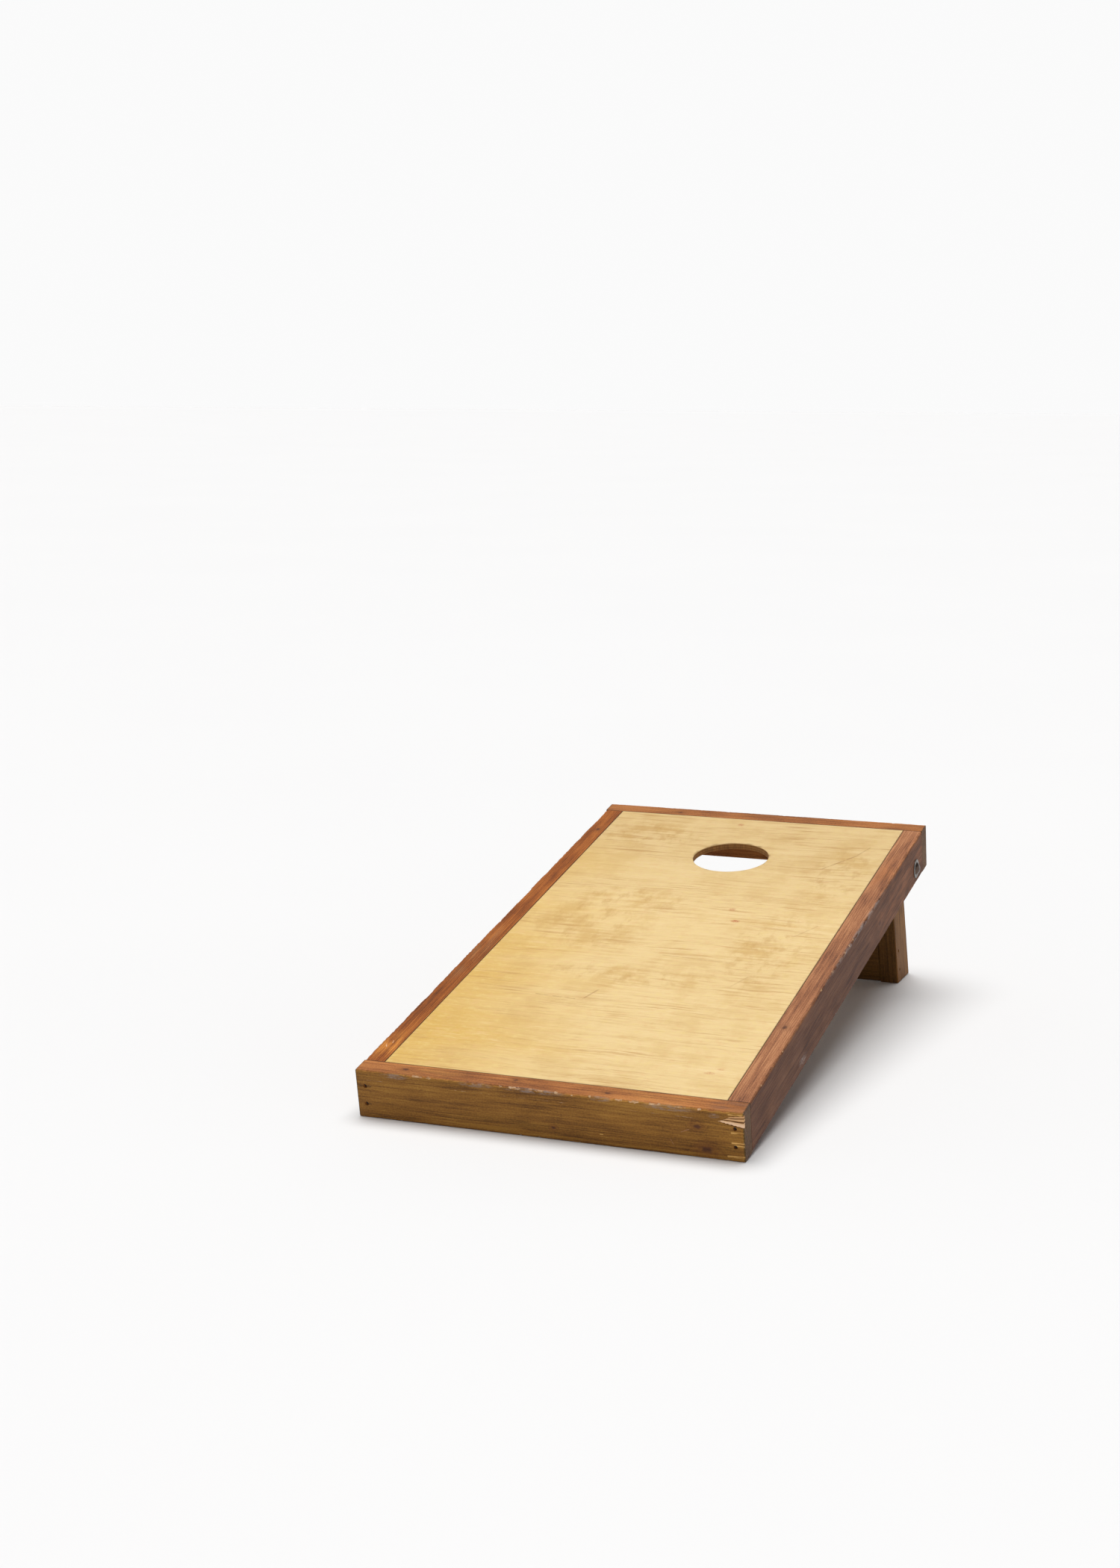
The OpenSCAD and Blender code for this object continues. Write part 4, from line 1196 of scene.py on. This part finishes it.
def leg(side, word, seed):
    """A leg, at side -1 or 1 along x."""
    node = word + "_leg"
    low, high = turned_box(node, LEGS)
    half, top = (high[1] - low[1]) / 2, high[2]
    lean, height = tilt + rake, FOLD["pos_m"][2]
    stop_r, bore_r = 6 * MM, bolt_line(word + "_pivot_bolt", 3 * MM).max() + 0.08 * MM
    outline = leg_outline(half, top, stop_r, lambda u: (height + u * math.sin(lean)) / math.cos(lean), 3 * MM)
    piece = slab(node + "_worn", outline, low[0], high[0], 2.5 * MM, LEGS, seed)
    cut(piece, bore(low[0] - 5 * MM, high[0] + 5 * MM, bore_r))
    own = plank_axes(node, LEGS, (side, 0, 0))[0] @ Matrix.Rotation(math.pi / 2, 4, "Z")
    # outer lightens the leg's outer face: painted light
    wood = stained_wood(node + "_wood", seed, LEG_STAIN_AND_SHADE, pith=(0.02, 0.07), outer=(1.68, 1.55, 1.2),
                        knots=[(0.03 * side, 0.02, 0, 5 * MM, 2)])
    dress_wood(piece, "legs", "leg", wood, node, LEGS, own, "crossbar_screws")


def crossbar():
    chips = {TOP_OUTER: random_chips(6, 0.5, 1.2 * MM, 8), LOW_OUTER: random_chips(6, 0.5, 1.4 * MM, 9)}
    piece, own = plank("crossbar_worn", "crossbar", LEGS, (0, -1, 0), seed=33, chips=chips,
                       eased=mm(2.5, 2.5, 2.5, 2.5), worn=mm(0.8, 0.8, 0.8, 0.8), step=4 * MM)
    # Its stain is darkened as painted shade beneath the board
    wood = stained_wood("crossbar_wood", 7, LEG_STAIN_AND_SHADE, pith=(0.05, 0.08), knots=[(-0.09, 0.05, 0, 6 * MM, 2)])
    dress_wood(piece, "legs", "leg", wood, "crossbar", LEGS, own, "crossbar_screws")


def hardware():
    black = worn_metal("black_phosphate", (0.050, 0.045, 0.042), (0.10, 0.07, 0.05), rough=0.5, metallic=0.6)
    yellow_zinc = worn_metal("yellow_zinc", (0.62, 0.55, 0.33), (0.40, 0.33, 0.20), rough=0.32)
    zinc = worn_metal("dull_zinc", (0.27, 0.26, 0.25), (0.13, 0.12, 0.11), rough=0.42)
    # The carriage bolts' dark colour is a painted dark reflection in their polished domes
    dark_reflection_steel = worn_metal("bolt_steel_painted_dark_reflection", (0.115, 0.080, 0.062), (0.045, 0.032, 0.026), rough=0.26,
                        scratch=0.35)
    white_nylon = nylon()
    for node in ("front_rail_screws", "rear_rail_screws"):
        screws(node, BOARD, "board", "dark_screw", black)
    for node in ("cleat_screws", "deck_screws"):
        screws(node, BOARD, "board", "zinc_screw", yellow_zinc)
    screws("crossbar_screws", LEGS, "legs", "dark_screw", black)
    for side, word in ((-1, "left"), (1, "right")):
        carriage_bolt(word + "_carriage_bolt", word + "_pivot_bolt", side, dark_reflection_steel)
        for kind in ("head", "spacer", "nut"):
            washer(word + "_" + kind + "_washer", side, zinc)
        lock_nut(word + "_lock_nut", side, zinc, white_nylon)


# ---- Studio ----

FLOOR_HALF = 60


def floor():
    mesh = bpy.data.meshes.new("floor")
    shape = bmesh.new()
    bmesh.ops.create_grid(shape, x_segments=4, y_segments=4, size=FLOOR_HALF)
    shape.to_mesh(mesh)
    shape.free()
    mesh.materials.append(studio_floor())
    in_scene("floor", mesh)


def lights():
    """A wide soft lamp overhead, and a sky that is white low down and dim above."""
    lamp = bpy.data.lights.new("overhead", "SUN")
    lamp.energy = 3.45
    lamp.angle = math.radians(55)
    lamp.color = (1.0, 0.985, 0.95)
    in_scene("overhead", lamp).rotation_euler = (math.radians(-4), math.radians(-5), 0)
    world = bpy.data.worlds.new("studio")
    bpy.context.scene.world = world
    world.use_nodes = True
    tree = world.node_tree
    place = tree.nodes.new("ShaderNodeTexCoord")
    split = tree.nodes.new("ShaderNodeSeparateXYZ")
    ramp = tree.nodes.new("ShaderNodeValToRGB")
    ramp.color_ramp.interpolation = "EASE"
    low, high = ramp.color_ramp.elements
    low.position, high.position = 0.16, 0.42
    low.color, high.color = (0.96, 0.96, 0.96, 1), (0.12, 0.12, 0.125, 1)
    tree.links.new(place.outputs["Generated"], split.inputs[0])
    tree.links.new(split.outputs[2], ramp.inputs[0])
    tree.links.new(ramp.outputs[0], tree.nodes["Background"].inputs["Color"])
    bpy.context.scene.view_settings.view_transform = "Standard"


def camera():
    """The photograph's view: from the front right, a little above, framed with room at the upper left."""
    turn, dip, away, lens = math.radians(21.186), math.radians(9.78), 4.5643, 55.93
    middle = BOARD @ Vector((0, BOARD_L / 2, 0))
    aim = middle + Vector((-0.2061, -0.0282, 0.2794))
    ahead = Vector((-math.sin(turn) * math.cos(dip), math.cos(turn) * math.cos(dip), -math.sin(dip)))
    data = bpy.data.cameras.new("camera")
    data.lens = lens
    data.sensor_width = 36
    data.clip_end = 200
    view = in_scene("camera", data)
    view.location = aim - ahead * away
    view.rotation_euler = ahead.to_track_quat("-Z", "Y").to_euler()
    bpy.context.scene.camera = view


camera()
lights()
floor()
deck()
front_rail()
rear_rail()
side_rails()
cleats()
leg(-1, "left", 8)
leg(1, "right", 9)
crossbar()
hardware()
